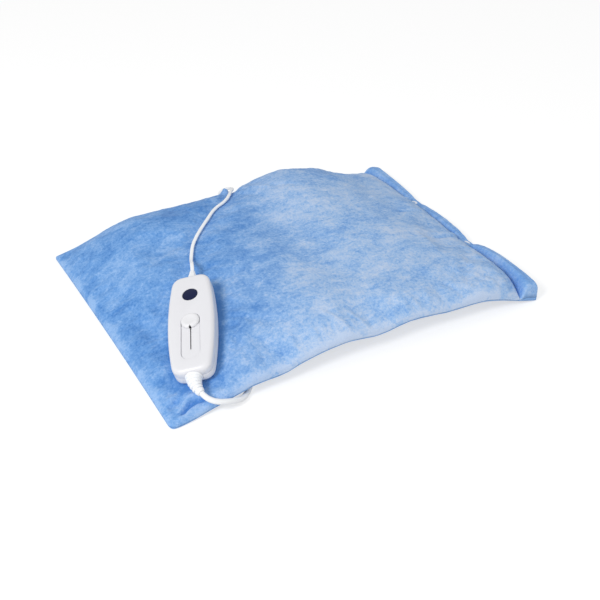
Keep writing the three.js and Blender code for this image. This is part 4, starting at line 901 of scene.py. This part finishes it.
def sheet_mesh(name, xs, ys, low, high, material, bulging=False):
    """Closed sheet between two heights. low may depend on high, and both on the place."""
    x, y = np.meshgrid(xs, ys, indexing="ij")
    px, py = placed(x, y, bulging)
    upper = high(x, y, px, py)
    lower = np.minimum(low(x, y, px, py, upper), upper - 0.5)
    # On the steep side above the crease the inner face lies behind the outer, and not below it
    inner = px - (CLOTH * side_share(x) if bulging else 0)
    tops = np.stack([px, py, upper], axis=-1).reshape(-1, 3)
    lows = np.stack([inner, py, lower], axis=-1).reshape(-1, 3)
    index = np.arange(x.size).reshape(x.shape)
    quads = grid_quads(index)
    faces = [quads, quads[:, ::-1] + x.size]
    for edge in (index[:, 0], index[-1, :], index[::-1, -1], index[0, ::-1]):
        i, j = edge[:-1], edge[1:]
        faces.append(np.stack([i, i + x.size, j + x.size, j], axis=-1))
    obj = add_mesh(name, np.concatenate([tops, lows]), np.concatenate(faces).tolist())
    finish_mesh(obj, material)
    return obj


# Distances of the grid's lines from an edge, where the sheet rolls round, and of the first even line
EDGE_ROWS = np.array([0, 0.12, 0.45, 0.95, 1.6, 2.4, 3.4, 4.6, 5.6, 6.15, 6.7, 7.6, 8.8])
FIRST_EVEN, FIRST_EVEN_PLAIN, PLAIN_ROWS = 10.4, 8.0, 8


def spaced(low, high, step):
    return np.linspace(low, high, max(int(round((high - low) / step)), 1) + 1)


def grid_lines(step, crease):
    """Lines of the grid over the pad: close together at the edges, and at the crease if it has one."""
    left, right, half = -LENGTH / 2, LENGTH / 2, DEPTH / 2
    rows, inset = (EDGE_ROWS, FIRST_EVEN) if crease else (EDGE_ROWS[:PLAIN_ROWS], FIRST_EVEN_PLAIN)
    even = [spaced(left + inset, right - inset, step)]
    if crease:
        near, far = CREASE_X - 6, CREASE_X + 6
        even = [
            spaced(left + inset, near - step, step), spaced(near, far, 0.6),
            spaced(far + step, right - rows[-1] - step, step),
        ]
    xs = np.concatenate([left + rows, *even, right - rows[::-1]])
    ys = np.concatenate([-half + rows, spaced(-half + inset, half - inset, step), half - rows[::-1]])
    return xs, ys


def node_box(node):
    low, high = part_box(node)
    low, high = np.array(low) / MM, np.array(high) / MM
    return low, high, (low + high) / 2


SNAP_PLACES = [tuple(node_box(f"snap_{k}_stud")[2][:2]) for k in (1, 2)]


def bottom_low(x, y, px, py, tops):
    depth = CLOTH + BAND_SWELL * hem_share(x)
    d = np.minimum(edge_distance(x, y), LENGTH / 2 - x)
    low = underside(x, y) + depth * (1 - lip(d, EDGE_ROUNDING))
    low = low + ease(low / 2) * 0.25 * (1 + noise_field(x, y, 14.0, 8))
    return np.where(by_sleeve(px, py), np.minimum(low, SLEEVE_Z - tunnel(px, py, True)), low)


def bottom_high(x, y, px, py):
    # The snaps' studs press into the lower hem
    off = [(px - sx) ** 2 + (py - sy) ** 2 for sx, sy in SNAP_PLACES]
    high = band_high(x, y) - STUD_PRESS * sum(np.exp(-o / STUD_PRESS_HALF ** 2) for o in off)
    inner = tunnel(px, py, False)
    return np.where(by_sleeve(px, py) & (inner > BULGE_LEAST), np.minimum(high, SLEEVE_Z - inner), high)


def surface(x, y):
    """Point on the top panel or flap, without the nap."""
    px, py = placed(x, y)
    return np.stack([px, py, top_high(x, y, px, py, False)], axis=-1)


def stitches(name, lines, body, slot):
    """Rows of short raised stitches along lines of points on the cloth."""
    points, faces = [], []
    for line in lines:
        even = evenly(np.asarray(line, float), STITCH_SPACING)
        for a, b in zip(even, even[1:]):
            middle, along = (a + b) / 2, (b - a) / np.linalg.norm(b - a)
            side = np.cross(along, (0, 0, 1))
            side /= np.linalg.norm(side)
            rise = np.cross(side, along)
            start = len(points)
            for offset, share in ((-0.36, 0.8), (0.0, 1.0), (0.36, 0.8)):
                for c, s in circle(share, 6):
                    points.append(tuple(
                        middle + along * offset * STITCH_LENGTH + side * STITCH_HALF * c
                        + rise * (STITCH_LIFT + STITCH_RISE * s)
                    ))
            for end in (-0.5, 0.5):
                points.append(tuple(middle + along * end * STITCH_LENGTH + rise * (STITCH_LIFT - 0.25)))
            faces += [tuple(start + i for i in face) for face in ring_faces(3, 6, False)]
            for k in range(6):
                for ring, tip in ((0, 18), (12, 19)):
                    faces.append((start + ring + k, start + ring + (k + 1) % 6, start + tip))
    return put(new_object(name, points, faces, THREAD), body, slot)


def paint_rim_light(obj, xs, ys):
    """Painted light on the pile: highlights along the rolled edges and the crease, light and shade on the
    folds, and shade by the controller.
    """
    x, y = np.meshgrid(xs, ys, indexing="ij")
    d = edge_distance(x, y)
    uneven = 0.85 + 0.9 * noise_field(x, y, 16.0, 11)
    # Painted highlights along the rolled edges and on the padding's shoulder by the crease
    rim = uneven * np.exp(-(d / 5.0) ** 2) + 0.7 * np.exp(-((CREASE_X - 3.0 - x) / 2.6) ** 2)
    # Painted light on the folds' ridges and painted shade in their valleys
    rim = rim + 0.3 * folded(x, y)
    # Painted shade: the pile is darkened close to the controller, where its shadow falls
    rim = rim - 1.2 * np.exp(-(controller_near(*placed(x, y)) / 3.4) ** 2)
    # On the hem, painted highlights along its rolled ends
    rim = np.where(x > HEM_START, 0.8 * np.exp(-((DEPTH / 2 - np.abs(y)) / 4.0) ** 2), rim)
    values = np.concatenate([rim.ravel(), np.zeros(rim.size)]).astype(np.float32)
    obj.data.attributes.new("rim", "FLOAT", "POINT").data.foreach_set("value", values)
    # The hem has its own material: the faces are in the order of the grid
    obj.data.materials.append(PLUSH_HEM)
    columns = (xs[:-1] + xs[1:]) / 2 > HEM_START
    rows = len(ys) - 1
    upper = np.repeat(columns, rows)
    sides = np.concatenate([columns, np.ones(rows, bool), columns[::-1], np.zeros(rows, bool)])
    chosen = np.concatenate([upper, upper, sides]).astype(np.int32)
    obj.data.polygons.foreach_set("material_index", chosen)


def make_cover():
    xs, ys = grid_lines(1.9, True)
    top = sheet_mesh("cover_top_cloth", xs, ys, top_low, top_high, PLUSH, True)
    paint_rim_light(top, xs, ys)
    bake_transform(top)
    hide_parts("cover_top", "closure_flap")
    bottom = sheet_mesh(
        "cover_bottom_cloth", *grid_lines(4.0, False), bottom_low, bottom_high, PLUSH_UNDER
    )
    put(bottom, "pad", "plush", "cover_bottom", "closure_band")


def sew_hem():
    """Two rows of stitches hold the hem's fold. They run down its ends and pass the snaps by."""
    half = DEPTH / 2
    turn = half - np.array([0.02, 0.1, 0.3, 0.7, 1.3, 2.2, 3.4, HEM_TURN])
    near, far = (node_box(f"snap_{k}_cap_top")[2][1] for k in (1, 2))
    starts = (HEM_TURN - half, near + SNAP_ROOM, far + SNAP_ROOM)
    ends = (near - SNAP_ROOM, far - SNAP_ROOM, half - HEM_TURN)
    runs = [np.linspace(a, b, 60) for a, b in zip(starts, ends)]
    runs[0] = np.concatenate([-turn, runs[0]])
    runs[-1] = np.concatenate([runs[-1], turn[::-1]])
    rows = []
    for inset in STITCH_INSETS:
        rows += [surface(np.full_like(run, LENGTH / 2 - inset), run) for run in runs]
    stitches("hem_stitches", rows, "closure_flap", "hem_plush")


# Slack of the cloth, found by simulation on a coarse grid
SLACK = {"field": None}
SLACK_GRID, SLACK_MOST, SIMULATED_FRAMES = 5.0, 3.0, 20
CLOTH_SETTINGS = {
    "quality": 6, "mass": 0.4, "tension_stiffness": 12, "compression_stiffness": 12,
    "shear_stiffness": 6, "bending_stiffness": 0.25, "shrink_min": -0.02, "use_pressure": True,
    "uniform_pressure_force": 0.25, "vertex_group_mass": "held", "pin_stiffness": 2.0,
}


def slack_at(x, y):
    if SLACK["field"] is None:
        return np.zeros(x.shape)
    xs, ys, field = SLACK["field"]
    i = np.clip(np.searchsorted(xs, x) - 1, 0, len(xs) - 2)
    j = np.clip(np.searchsorted(ys, y) - 1, 0, len(ys) - 2)
    u, v = ease((x - xs[i]) / (xs[i + 1] - xs[i])), ease((y - ys[j]) / (ys[j + 1] - ys[j]))
    near = field[i, j] * (1 - u) + field[i + 1, j] * u
    far = field[i, j + 1] * (1 - u) + field[i + 1, j + 1] * u
    return near * (1 - v) + far * v


def simulate_slack():
    """Lets the top panel, cut a little too large, buckle between its seams under light pressure."""
    xs = spaced(-LENGTH / 2, CREASE_X, SLACK_GRID)
    ys = spaced(-DEPTH / 2, DEPTH / 2, SLACK_GRID)
    x, y = np.meshgrid(xs, ys, indexing="ij")
    px, py = placed(x, y)
    start = top_high(x, y, px, py, False)
    points = np.stack([px, py, start], axis=-1).reshape(-1, 3)
    obj = add_mesh("slack", points, grid_quads(np.arange(x.size).reshape(x.shape)).tolist())
    held = obj.vertex_groups.new(name="held")
    free = clear_share(px, py, 14.0) * ease((edge_distance(x, y) - 3) / 14)
    free = (free * ease((CREASE_X - x - 3) / 10)).ravel()
    for k, share in enumerate(free):
        held.add([k], float(1 - share) ** 2, "REPLACE")
    cloth = obj.modifiers.new("cloth", "CLOTH")
    for key, value in CLOTH_SETTINGS.items():
        setattr(cloth.settings, key, value)
    cloth.settings.effector_weights.gravity = 0.0
    cloth.point_cache.frame_end = SIMULATED_FRAMES
    scene = bpy.context.scene
    for number in range(1, SIMULATED_FRAMES + 1):
        scene.frame_set(number)
    graph = bpy.context.evaluated_depsgraph_get()
    moved = np.empty(x.size * 3)
    obj.evaluated_get(graph).data.vertices.foreach_get("co", moved)
    rise = moved.reshape(-1, 3)[:, 2] / MM - points[:, 2]
    field = np.clip(rise, -SLACK_MOST, SLACK_MOST).reshape(x.shape) * free.reshape(x.shape)
    scene.frame_set(1)
    bpy.data.objects.remove(obj)
    SLACK["field"] = (xs, ys, field)


simulate_slack()
make_cover()
sew_hem()


def middle_height(x, y):
    return underside(x, y) + (SEAM + crown(x, y)) / 2


# Room of the quilts: to the seams, to the wire, to the cover, and between their own two faces
INNER_INSET, WIRE_ROOM, COVER_ROOM, QUILT_LEAST = 29.0, 2.05, 0.8, 0.8
CHANNEL_PITCH, CHANNEL_HALF, CHANNEL_RISE = (33.0, 41.0), 2.6, 1.1


def make_inner_pads():
    """The two quilted layers with the heating wire between them, with sewn channels."""
    xs = spaced(-LENGTH / 2 + INNER_INSET, CREASE_X - INNER_INSET, 3.0)
    ys = spaced(-DEPTH / 2 + INNER_INSET, DEPTH / 2 - INNER_INSET, 3.0)

    def puff(x, y):
        lines = [
            np.abs((place + 20) % pitch - pitch / 2) for place, pitch in zip((x, y), CHANNEL_PITCH)
        ]
        return CHANNEL_RISE * np.exp(-(np.minimum(*lines) / CHANNEL_HALF) ** 2)

    def upper_near(x, y, px, py, tops=None):
        return middle_height(x, y) + WIRE_ROOM

    def upper_far(x, y, px, py):
        cover = top_high(x, y, px, py) - CLOTH - CHANNEL_RISE
        return np.maximum(cover - puff(x, y), upper_near(x, y, px, py) + QUILT_LEAST)

    def lower_near(x, y, px, py):
        return middle_height(x, y) - WIRE_ROOM

    def lower_far(x, y, px, py, tops):
        return np.minimum(underside(x, y) + CLOTH + COVER_ROOM + puff(x, y), tops - QUILT_LEAST)

    for side, low, high in (("top", upper_near, upper_far), ("bottom", lower_far, lower_near)):
        quilt = sheet_mesh(f"heater_quilt_{side}", xs, ys, low, high, QUILT)
        put(quilt, "pad", "quilt", f"inner_pad_{side}")


make_inner_pads()


# Controller
def barrel_outline(inset, count=36):
    """Points of the case's outline, widest in the middle and round at the corners."""
    end_y, end_x = CASE_LENGTH / 2 - inset, CASE_END_WIDTH / 2 - inset
    corner = CASE_CORNER - inset
    side_y = end_y - corner
    bulge = CASE_WIDTH - 2 * inset - end_x
    corner_x = end_x - (end_y - side_y) * (bulge - end_x) / side_y
    flat_x = corner_x - corner

    def curve(*corners, steps):
        a, control, b = (np.array(p, float) for p in corners)
        return [bezier(a, control, b, k / steps) for k in range(steps)]

    # One end and one side, then the same turned half round
    parts = []
    for s in (1, -1):
        flat, corner_out, end, widest = s * flat_x, s * corner_x, s * end_x, s * bulge
        far, start = s * end_y, s * side_y
        parts += [(flat * (2 * k / 6 - 1), -far) for k in range(6)]
        parts += curve((flat, -far), (corner_out, -far), (end, -start), steps=count // 3)
        parts += curve((end, -start), (widest, 0), (end, start), steps=count)
        parts += curve((end, start), (corner_out, far), (flat, far), steps=count // 3)
    return [(float(x), float(y)) for x, y in parts]


def stadium_outline(width, start, end, steps=20):
    radius = width / 2
    points = []
    for centre, first in ((end - radius, 0.0), (start + radius, math.pi)):
        for k in range(steps + 1):
            a = first + math.pi * k / steps
            points.append((radius * math.cos(a), centre + radius * math.sin(a)))
    return points


def loft(name, layers, material=WHITE_GLOSS, sharp=30):
    """Closed solid through outlines of equal length, each with its height."""
    points = [(x, y, z) for outline, z in layers for x, y in outline]
    sides = len(layers[0][0])
    return new_object(name, points, ring_faces(len(layers), sides), material, sharp=sharp)


def quarter(count):
    """Places (1 - cosine, 1 - sine) round a quarter circle, from (0, 1) to (1, 0)."""
    turns = [math.pi / 2 * k / (count - 1) for k in range(count)]
    return [(1 - math.cos(a), 1 - math.sin(a)) for a in turns]


def flared(name, outline_of, floor, rim, rounding):
    """Cutter that widens at its upper rim, so the cut's edge comes out rounded."""
    layers = [(outline_of(0.3), floor), (outline_of(0.08), floor + 0.1), (outline_of(0.0), floor + 0.35)]
    layers += [(outline_of(-rounding * c), rim - rounding * s) for c, s in quarter(6)]
    return loft(name, layers + [(outline_of(-rounding), rim + 2)])


def cylinder(name, radius, x, y, low, high, steps=32):
    outline = circle(radius, steps, x, y)
    return loft(name, [(outline, low), (outline, high)])


def lying_cylinder(name, radius, reach):
    """The same along the y axis, from -reach to reach."""
    return turn_up(cylinder(name, radius, 0, 0, -reach, reach))


def half_case(name, rim, far, wall_end):
    """One half: an outer shell with a rounded edge and parting lip, and the room inside it."""
    sense = 1 if far > rim else -1
    layers = [(barrel_outline(PARTING * s), rim + sense * PARTING * c) for c, s in quarter(4)]
    layers += [
        (barrel_outline(CASE_EDGE * c), far - sense * CASE_EDGE * s) for c, s in quarter(10)
    ]
    room = [(0.0, rim - sense * 0.5), (0.0, wall_end - sense * 1.0), (0.3, wall_end - sense * 0.3)]
    room.append((1.0, wall_end))
    hollow = loft("hollow", [(barrel_outline(CASE_WALL + inset), z) for inset, z in room])
    outer = loft(name, layers)
    cut_with(outer, hollow)
    return outer


def mirrored(x, y):
    """The four places with the same distances from both middle lines."""
    return [(sx * x, sy * y) for sx in (-1, 1) for sy in (-1, 1)]


SCREWS, POSTS = mirrored(13.5, CASE_LENGTH / 2 - 15), mirrored(12.0, 41.0)


def neck_holes():
    places = ((PAD_NECK, CASE_LENGTH / 2), (MAINS_NECK, -CASE_LENGTH / 2))
    return [
        move(lying_cylinder("neck_hole", neck + GAP, 6), 0, y, CASE_HEIGHT / 2) for neck, y in places
    ]


def make_case():
    part, lid_low = CASE_HEIGHT / 2, CASE_HEIGHT - CASE_LID
    recess_floor = CASE_HEIGHT - RECESS_DEPTH
    top = half_case("case_top_shell", part + GAP / 2, CASE_HEIGHT, lid_low)
    joined(top, *(cylinder("boss", 3.1, x, y, part + GAP / 2, lid_low + 1.1) for x, y in SCREWS))

    def recess_outline(inset):
        ends = RECESS_END + inset, RECESS_END + RECESS_LENGTH - inset
        return stadium_outline(RECESS_WIDTH - 2 * inset, *ends, 28)

    def slot_outline(inset):
        ends = KNOB_Y - TRAVEL - SLOT_SPARE + inset, KNOB_Y + SLOT_SPARE - inset
        return stadium_outline(SLOT_WIDTH - 2 * inset, *ends, 10)

    def lens_outline(inset):
        return circle(LENS_RADIUS + GAP - inset, 64, 0, LENS_Y)

    recess = flared("recess", recess_outline, recess_floor - 0.7, CASE_HEIGHT, 0.4)
    # A groove is left round the recess floor's raised plate
    island = recess_outline(0.65)
    floor_plate = loft("recess_plate", [(island, lid_low + 0.2), (island, recess_floor)])
    slot = flared("slot", slot_outline, lid_low - 2, recess_floor, 0.18)
    lens_seat = flared("lens_seat", lens_outline, CASE_HEIGHT - 2.0, CASE_HEIGHT, 0.5)
    window = cylinder("window", LENS_RADIUS - 1.5, 0, LENS_Y, part, CASE_HEIGHT - 1, 64)
    holes = [cylinder("hole", SCREW_HOLE, x, y, part - 1, part + 5.3) for x, y in SCREWS]
    cut_with(top, *neck_holes(), recess, lens_seat, window, *holes)
    joined(top, floor_plate)
    cut_with(top, slot)
    bottom = half_case("case_bottom_shell", part - GAP / 2, 0.0, CASE_WALL)
    joined(bottom, *(cylinder("boss", 3.4, x, y, 1.1, part - GAP / 2) for x, y in SCREWS))
    joined(bottom, *(cylinder("post", 2.0, x, y, 1.1, 5.7) for x, y in POSTS))
    holes = [cylinder("hole", SCREW_HOLE, x, y, -1, part + 1) for x, y in SCREWS]
    sinks = [cylinder("sink", SCREW_SINK, x, y, -1, 3.2) for x, y in SCREWS]
    cut_with(bottom, *neck_holes(), *holes, *sinks)
    for shell, node in ((top, "case_top"), (bottom, "case_bottom")):
        finish_mesh(shell, WHITE_GLOSS, 28)
        put(onto(shell, CONTROLLER), "pad", "white_gloss", node)


def make_lens():
    high = CASE_HEIGHT + GAP
    corners = [(0, high - 2), (LENS_RADIUS, high - 2), (LENS_RADIUS, high - 0.25, 0.5)]
    corners += [(LENS_RADIUS * t, high - 0.15 + 0.45 * (1 - t * t)) for t in (0.93, 0.7, 0.45, 0.2)]
    lens = turn_up(lathe("lens_dome", corners + [(0, high + 0.3)], LENS, 64, 0.12, 3))
    put(onto(move(lens, 0, LENS_Y, 0), CONTROLLER), "pad", "lens_blue", "indicator_lens")


def make_knob():
    low = CASE_HEIGHT - RECESS_DEPTH + GAP
    high = low + KNOB_HEIGHT
    r = KNOB_RADIUS
    corners = [(0, low), (r - 0.3, low, 0.2), (r, low + 0.5, 0.4), (r, low + 1.9, 0.9)]
    corners += [(r - 1.5, high - 0.25, 1.6), (r - 3.4, high, 0.9)]
    # The thumb's hollow
    corners += [((r - 4.2) * t, high - 0.7 + 0.55 * t * t) for t in (0.98, 0.75, 0.5, 0.25)]
    knob = turn_up(lathe("knob", corners + [(0, high - 0.7)], WHITE_KNOB, 96, 0.3, 5, 30))
    wedge = [(-1.3, -r - 1), (1.3, -r - 1), (1.3, 0.6 - r), (0, 2.3 - r), (-1.3, 0.6 - r)]
    cut_with(knob, loft("notch", [(wedge, low - 1), (wedge, high + 1)], WHITE_KNOB))
    half, reach = STEM_WIDTH / 2, STEM_LENGTH / 2
    outline = [(-half, -reach), (half, -reach), (half, reach), (-half, reach)]
    joined(knob, loft("stem", [(outline, STEM_LOW), (outline, low + 1.5)], WHITE_KNOB))
    finish_mesh(knob, WHITE_KNOB, 30)
    put(onto(move(knob, 0, KNOB_Y, 0), CONTROLLER), "slider", "white_gloss", "slider_knob")
    # A dark fill sits low in the notch: painted shade, for the shadow in the notch
    inlay = [(x * 0.93, y) for x, y in wedge[2:]] + [(-1.2, 0.15 - r), (1.2, 0.15 - r)]
    mark = move(loft("knob_notch_shade", [(inlay, low + 0.2), (inlay, low + 1.9)], NOTCH_SHADE), 0, KNOB_Y, 0)
    put(onto(mark, CONTROLLER), "slider", "black_plastic")


def relief_mesh(name, sizes, sides, ribs=0, flutes=0):
    """Turned taper with rounded ribs or with flutes along it, about the y axis."""
    neck, base, tip, length = sizes
    start, profile = GAP, []
    if neck:
        inner = -CASE_WALL - GAP
        profile += [(neck + 1.2, inner - 2.0), (neck + 1.2, inner), (neck, inner), (neck, start)]
    profile += [(base - 0.5, start), (base, start + 0.5)]
    pitch = length / (ribs + 1)
    for rib in range(ribs):
        crest = base + (tip - base) * (rib + 1) / (ribs + 1)
        y = start + pitch * (rib + 1)
        profile += [(crest + out, y + share * pitch) for out, share in RIB_STEPS]
    if flutes:
        for k in range(1, 12):
            t = k / 12
            profile.append((base + (tip - base) * t ** 0.85, start + 0.5 + (length - 1.0) * t))
    profile += [(tip, start + length - 0.4), (tip - 0.35, start + length)]
    points = lathe_points(profile, sides)
    if flutes:
        for i, (x, y, z) in enumerate(points):
            depth = 0.07 * ease((y - start - 0.6) / 2.5) * ease((start + length - y) / 3)
            scale = 1 - float(depth) * (0.5 + 0.5 * math.cos(flutes * math.atan2(z, x)))
            points[i] = (x * scale, y, z * scale)
    return new_object(name, points, ring_faces(len(profile), sides), WHITE_VINYL, sharp=50)


def make_reliefs():
    thin = relief_mesh("relief_thin_cord", PAD_RELIEF, 64, flutes=PAD_FLUTES)
    move(thin, 0, CASE_LENGTH / 2, CASE_HEIGHT / 2)
    put(onto(thin, CONTROLLER), "pad", "white_soft", "strain_relief_pad")
    mains = relief_mesh("relief_mains", MAINS_RELIEF, 48, ribs=MAINS_RIBS)
    # It bends down and to the side, along with the lead
    radius = MAINS_RELIEF_LENGTH / MAINS_BEND
    side = Vector((-math.cos(MAINS_DROOP), 0, -math.sin(MAINS_DROOP)))
    for vertex in mains.data.vertices:
        p = vertex.co / MM
        turn = max(p.y - GAP, 0) / radius
        from_centre = radius - p.dot(side)
        q = p + side * (from_centre * (1 - math.cos(turn)))
        q.y = min(p.y, GAP) + from_centre * math.sin(turn)
        vertex.co = q * MM
    mains.data.transform(Matrix.Rotation(math.pi, 4, "Z"))
    move(mains, 0, -CASE_LENGTH / 2, CASE_HEIGHT / 2)
    put(onto(mains, CONTROLLER), "pad", "white_soft", "strain_relief_mains")


make_case()
make_lens()
make_knob()
make_reliefs()


# Snaps, plug and what stays from the CAD
def make_snaps():
    """The caps of both snaps, each with the post that goes from it to the other end of the node's box."""
    for snap in ("snap_1", "snap_2"):
        for part, body, sense in (("cap_top", "closure_flap", 1), ("cap_bottom", "pad", -1)):
            node = f"{snap}_{part}"
            low, high, centre = node_box(node)
            height, r = high[2] - low[2], (high[0] - low[0]) / 2
            corners = [(0, 0), (1.2, 0), (1.2, height - 1.4, 0.2), (r - 0.3, height - 1.4, 0.2)]
            corners += [(r, height - 1.1, 0.3), (r, height - 0.75, 0.4), (r - 1.1, height - 0.1, 1.0)]
            corners += [(2.6, height, 0.3), (1.5, height - 0.3, 0.4), (0, height - 0.35)]
            cap = turn_up(lathe(f"{node}_disc", corners, WHITE_SNAP, 48, 0.2, 4))
            if sense < 0:
                cap.data.transform(Matrix.Scale(-1, 4, (0, 0, 1)))
            move(cap, centre[0], centre[1], low[2] if sense > 0 else high[2])
            finish_mesh(cap, WHITE_SNAP, 40)
            put(cap, body, "white_gloss", node)


def plug_outline(inset):
    """Plan of the plug: wide at the pins' face, drawn in to the neck where the cord comes in."""
    half, neck = PLUG_WIDTH / 2 - inset, PLUG_NECK / 2 - inset
    low, high = -PLUG_LENGTH / 2 + inset, PLUG_LENGTH / 2 - inset
    corners = (half, low), (half, low + 9), (half - 1.6, low + 14), (neck + 2.2, high - 6), (neck, high)
    corners = [np.array(p) for p in corners]
    right = [a + (b - a) * k / 6 for a, b in zip(corners, corners[1:]) for k in range(6)]
    right.append(corners[-1])
    smoothed = [
        np.mean(right[i - 2:i + 3], axis=0) if 2 <= i < len(right) - 2 else p
        for i, p in enumerate(right)
    ]
    left = [(-x, y) for x, y in reversed(smoothed)]
    return [(float(x), float(y)) for x, y in smoothed + left]


def make_plug():
    half, root = PLUG_THICKNESS / 2, -PLUG_LENGTH / 2
    layers = [(plug_outline(PLUG_EDGE * s), PLUG_EDGE * c - half) for c, s in quarter(7)]
    layers += [(outline, -z) for outline, z in reversed(layers)]
    body = loft("plug_shell", layers, WHITE_VINYL)
    cuts = []
    for side in (-1, 1):
        hole = lying_cylinder("pin_hole", PIN_RADIUS + GAP, PIN_ROOT + GAP)
        cuts.append(move(hole, side * PIN_SPACING / 2, root, 0))
        for k in range(GROOVES):
            groove = cylinder("groove", GROOVE_RADIUS, 0, 0, 2.5 - half, half - 2.5, 12)
            cuts.append(move(groove, side * (PLUG_WIDTH / 2 + 0.25), root + 4.0 + GROOVE_PITCH * k, 0))
    cut_with(body, *cuts)
    finish_mesh(body, WHITE_VINYL, 30)
    place = Matrix.Translation(Vector((*PLUG_CENTRE, half)) * MM) @ Matrix.Rotation(PLUG_HEADING, 4, "Z")
    put(onto(body, place), "pad", "white_soft", "plug_body")
    for k, side in enumerate((-1, 1)):
        profile = [(0, -PIN_LENGTH), (PIN_RADIUS - 1, -PIN_LENGTH, 0.7), (PIN_RADIUS, 1 - PIN_LENGTH, 0.7)]
        profile += [(PIN_RADIUS, PIN_ROOT, 0.1), (0, PIN_ROOT)]
        pin = move(lathe(f"blade_{k + 1}", profile, NICKEL, 32, 0.3, 4), side * PIN_SPACING / 2, root, 0)
        put(onto(pin, place), "pad", "pin_metal", f"plug_pin_{k + 1}")
    relief = move(relief_mesh("relief_plug", PLUG_RELIEF, 40, ribs=PLUG_RIBS), 0, -root, 0)
    put(onto(relief, place), "pad", "white_soft", "plug_relief")


def give_materials():
    """What stays from the CAD takes the materials made here, by the name of its slot."""
    by_slot = {
        "plush": PLUSH, "hem_plush": PLUSH_HEM, "quilt": QUILT, "wire": WIRE,
        "white_gloss": WHITE_GLOSS, "white_soft": WHITE_VINYL, "lens_blue": LENS, "led_red": LED,
        "board": BOARD, "black_plastic": BLACK, "steel": STEEL, "pin_metal": NICKEL,
    }
    for node in NODES.values():
        for held in node.material_slots:
            key = held.material.name.split(".")[0] if held.material else ""
            held.material = by_slot.get(key, held.material)


make_snaps()
make_plug()
give_materials()


# Floor, world and lights, in metres
FLOOR_HALF, FLOOR_DROP, FLOOR_GLOW, WORLD_LIGHT = 6.0, 0.0004, 0.62, 0.55


def make_stage():
    """A white floor and a white background. The world lights the object less than it shows."""
    half = FLOOR_HALF / MM
    corners = [(-half, -half, 0), (half, -half, 0), (half, half, 0), (-half, half, 0)]
    floor = add_mesh("floor", corners, [(0, 1, 2, 3)])
    floor.location.z = -FLOOR_DROP
    m = Nodes("floor_paper", Roughness=0.9, Specular_IOR_Level=0.0)
    seen = m.add("ShaderNodeLightPath").outputs["Is Camera Ray"]
    glow = m.add("ShaderNodeEmission")
    m.set(glow, Color=(1, 1, 1), Strength=m.maths("MULTIPLY", seen, FLOOR_GLOW))
    m.colour(m.mix(seen, (0.82, 0.82, 0.82), (0.5, 0.5, 0.5)))
    paper = m.add("ShaderNodeAddShader")
    m.feed(paper.inputs[0], m.shader.outputs[0])
    m.feed(paper.inputs[1], glow.outputs[0])
    m.set(m.tree.nodes["Material Output"], Surface=paper.outputs[0])
    floor.data.materials.append(m.material)

    world = bpy.data.worlds.new("studio")
    bpy.context.scene.world = world
    m = Nodes("studio", world)
    rays = m.add("ShaderNodeLightPath").outputs
    seen = m.maths("MAXIMUM", rays["Is Camera Ray"], rays["Is Transmission Ray"])
    strength = m.add("ShaderNodeMapRange")
    m.set(strength, Value=m.maths("MAXIMUM", seen, rays["Is Glossy Ray"]), To_Min=WORLD_LIGHT)
    m.set(m.shader, Color=(1, 1, 1), Strength=strength.outputs["Result"])


def area_light(name, place, size, power):
    data = bpy.data.lights.new(name, "AREA")
    data.shape = "DISK"
    data.size = size
    data.energy = power
    lamp = add_object(name, data)
    lamp.location = place
    lamp.rotation_euler = (-Vector(place)).to_track_quat("-Z", "Y").to_euler()


make_stage()
area_light("key", (-1.5, -0.75, 1.45), 0.6, 22)
area_light("fill", (1.1, -1.4, 1.2), 1.5, 4)
bpy.context.scene.view_settings.view_transform = "Standard"


bpy.context.view_layer.update()
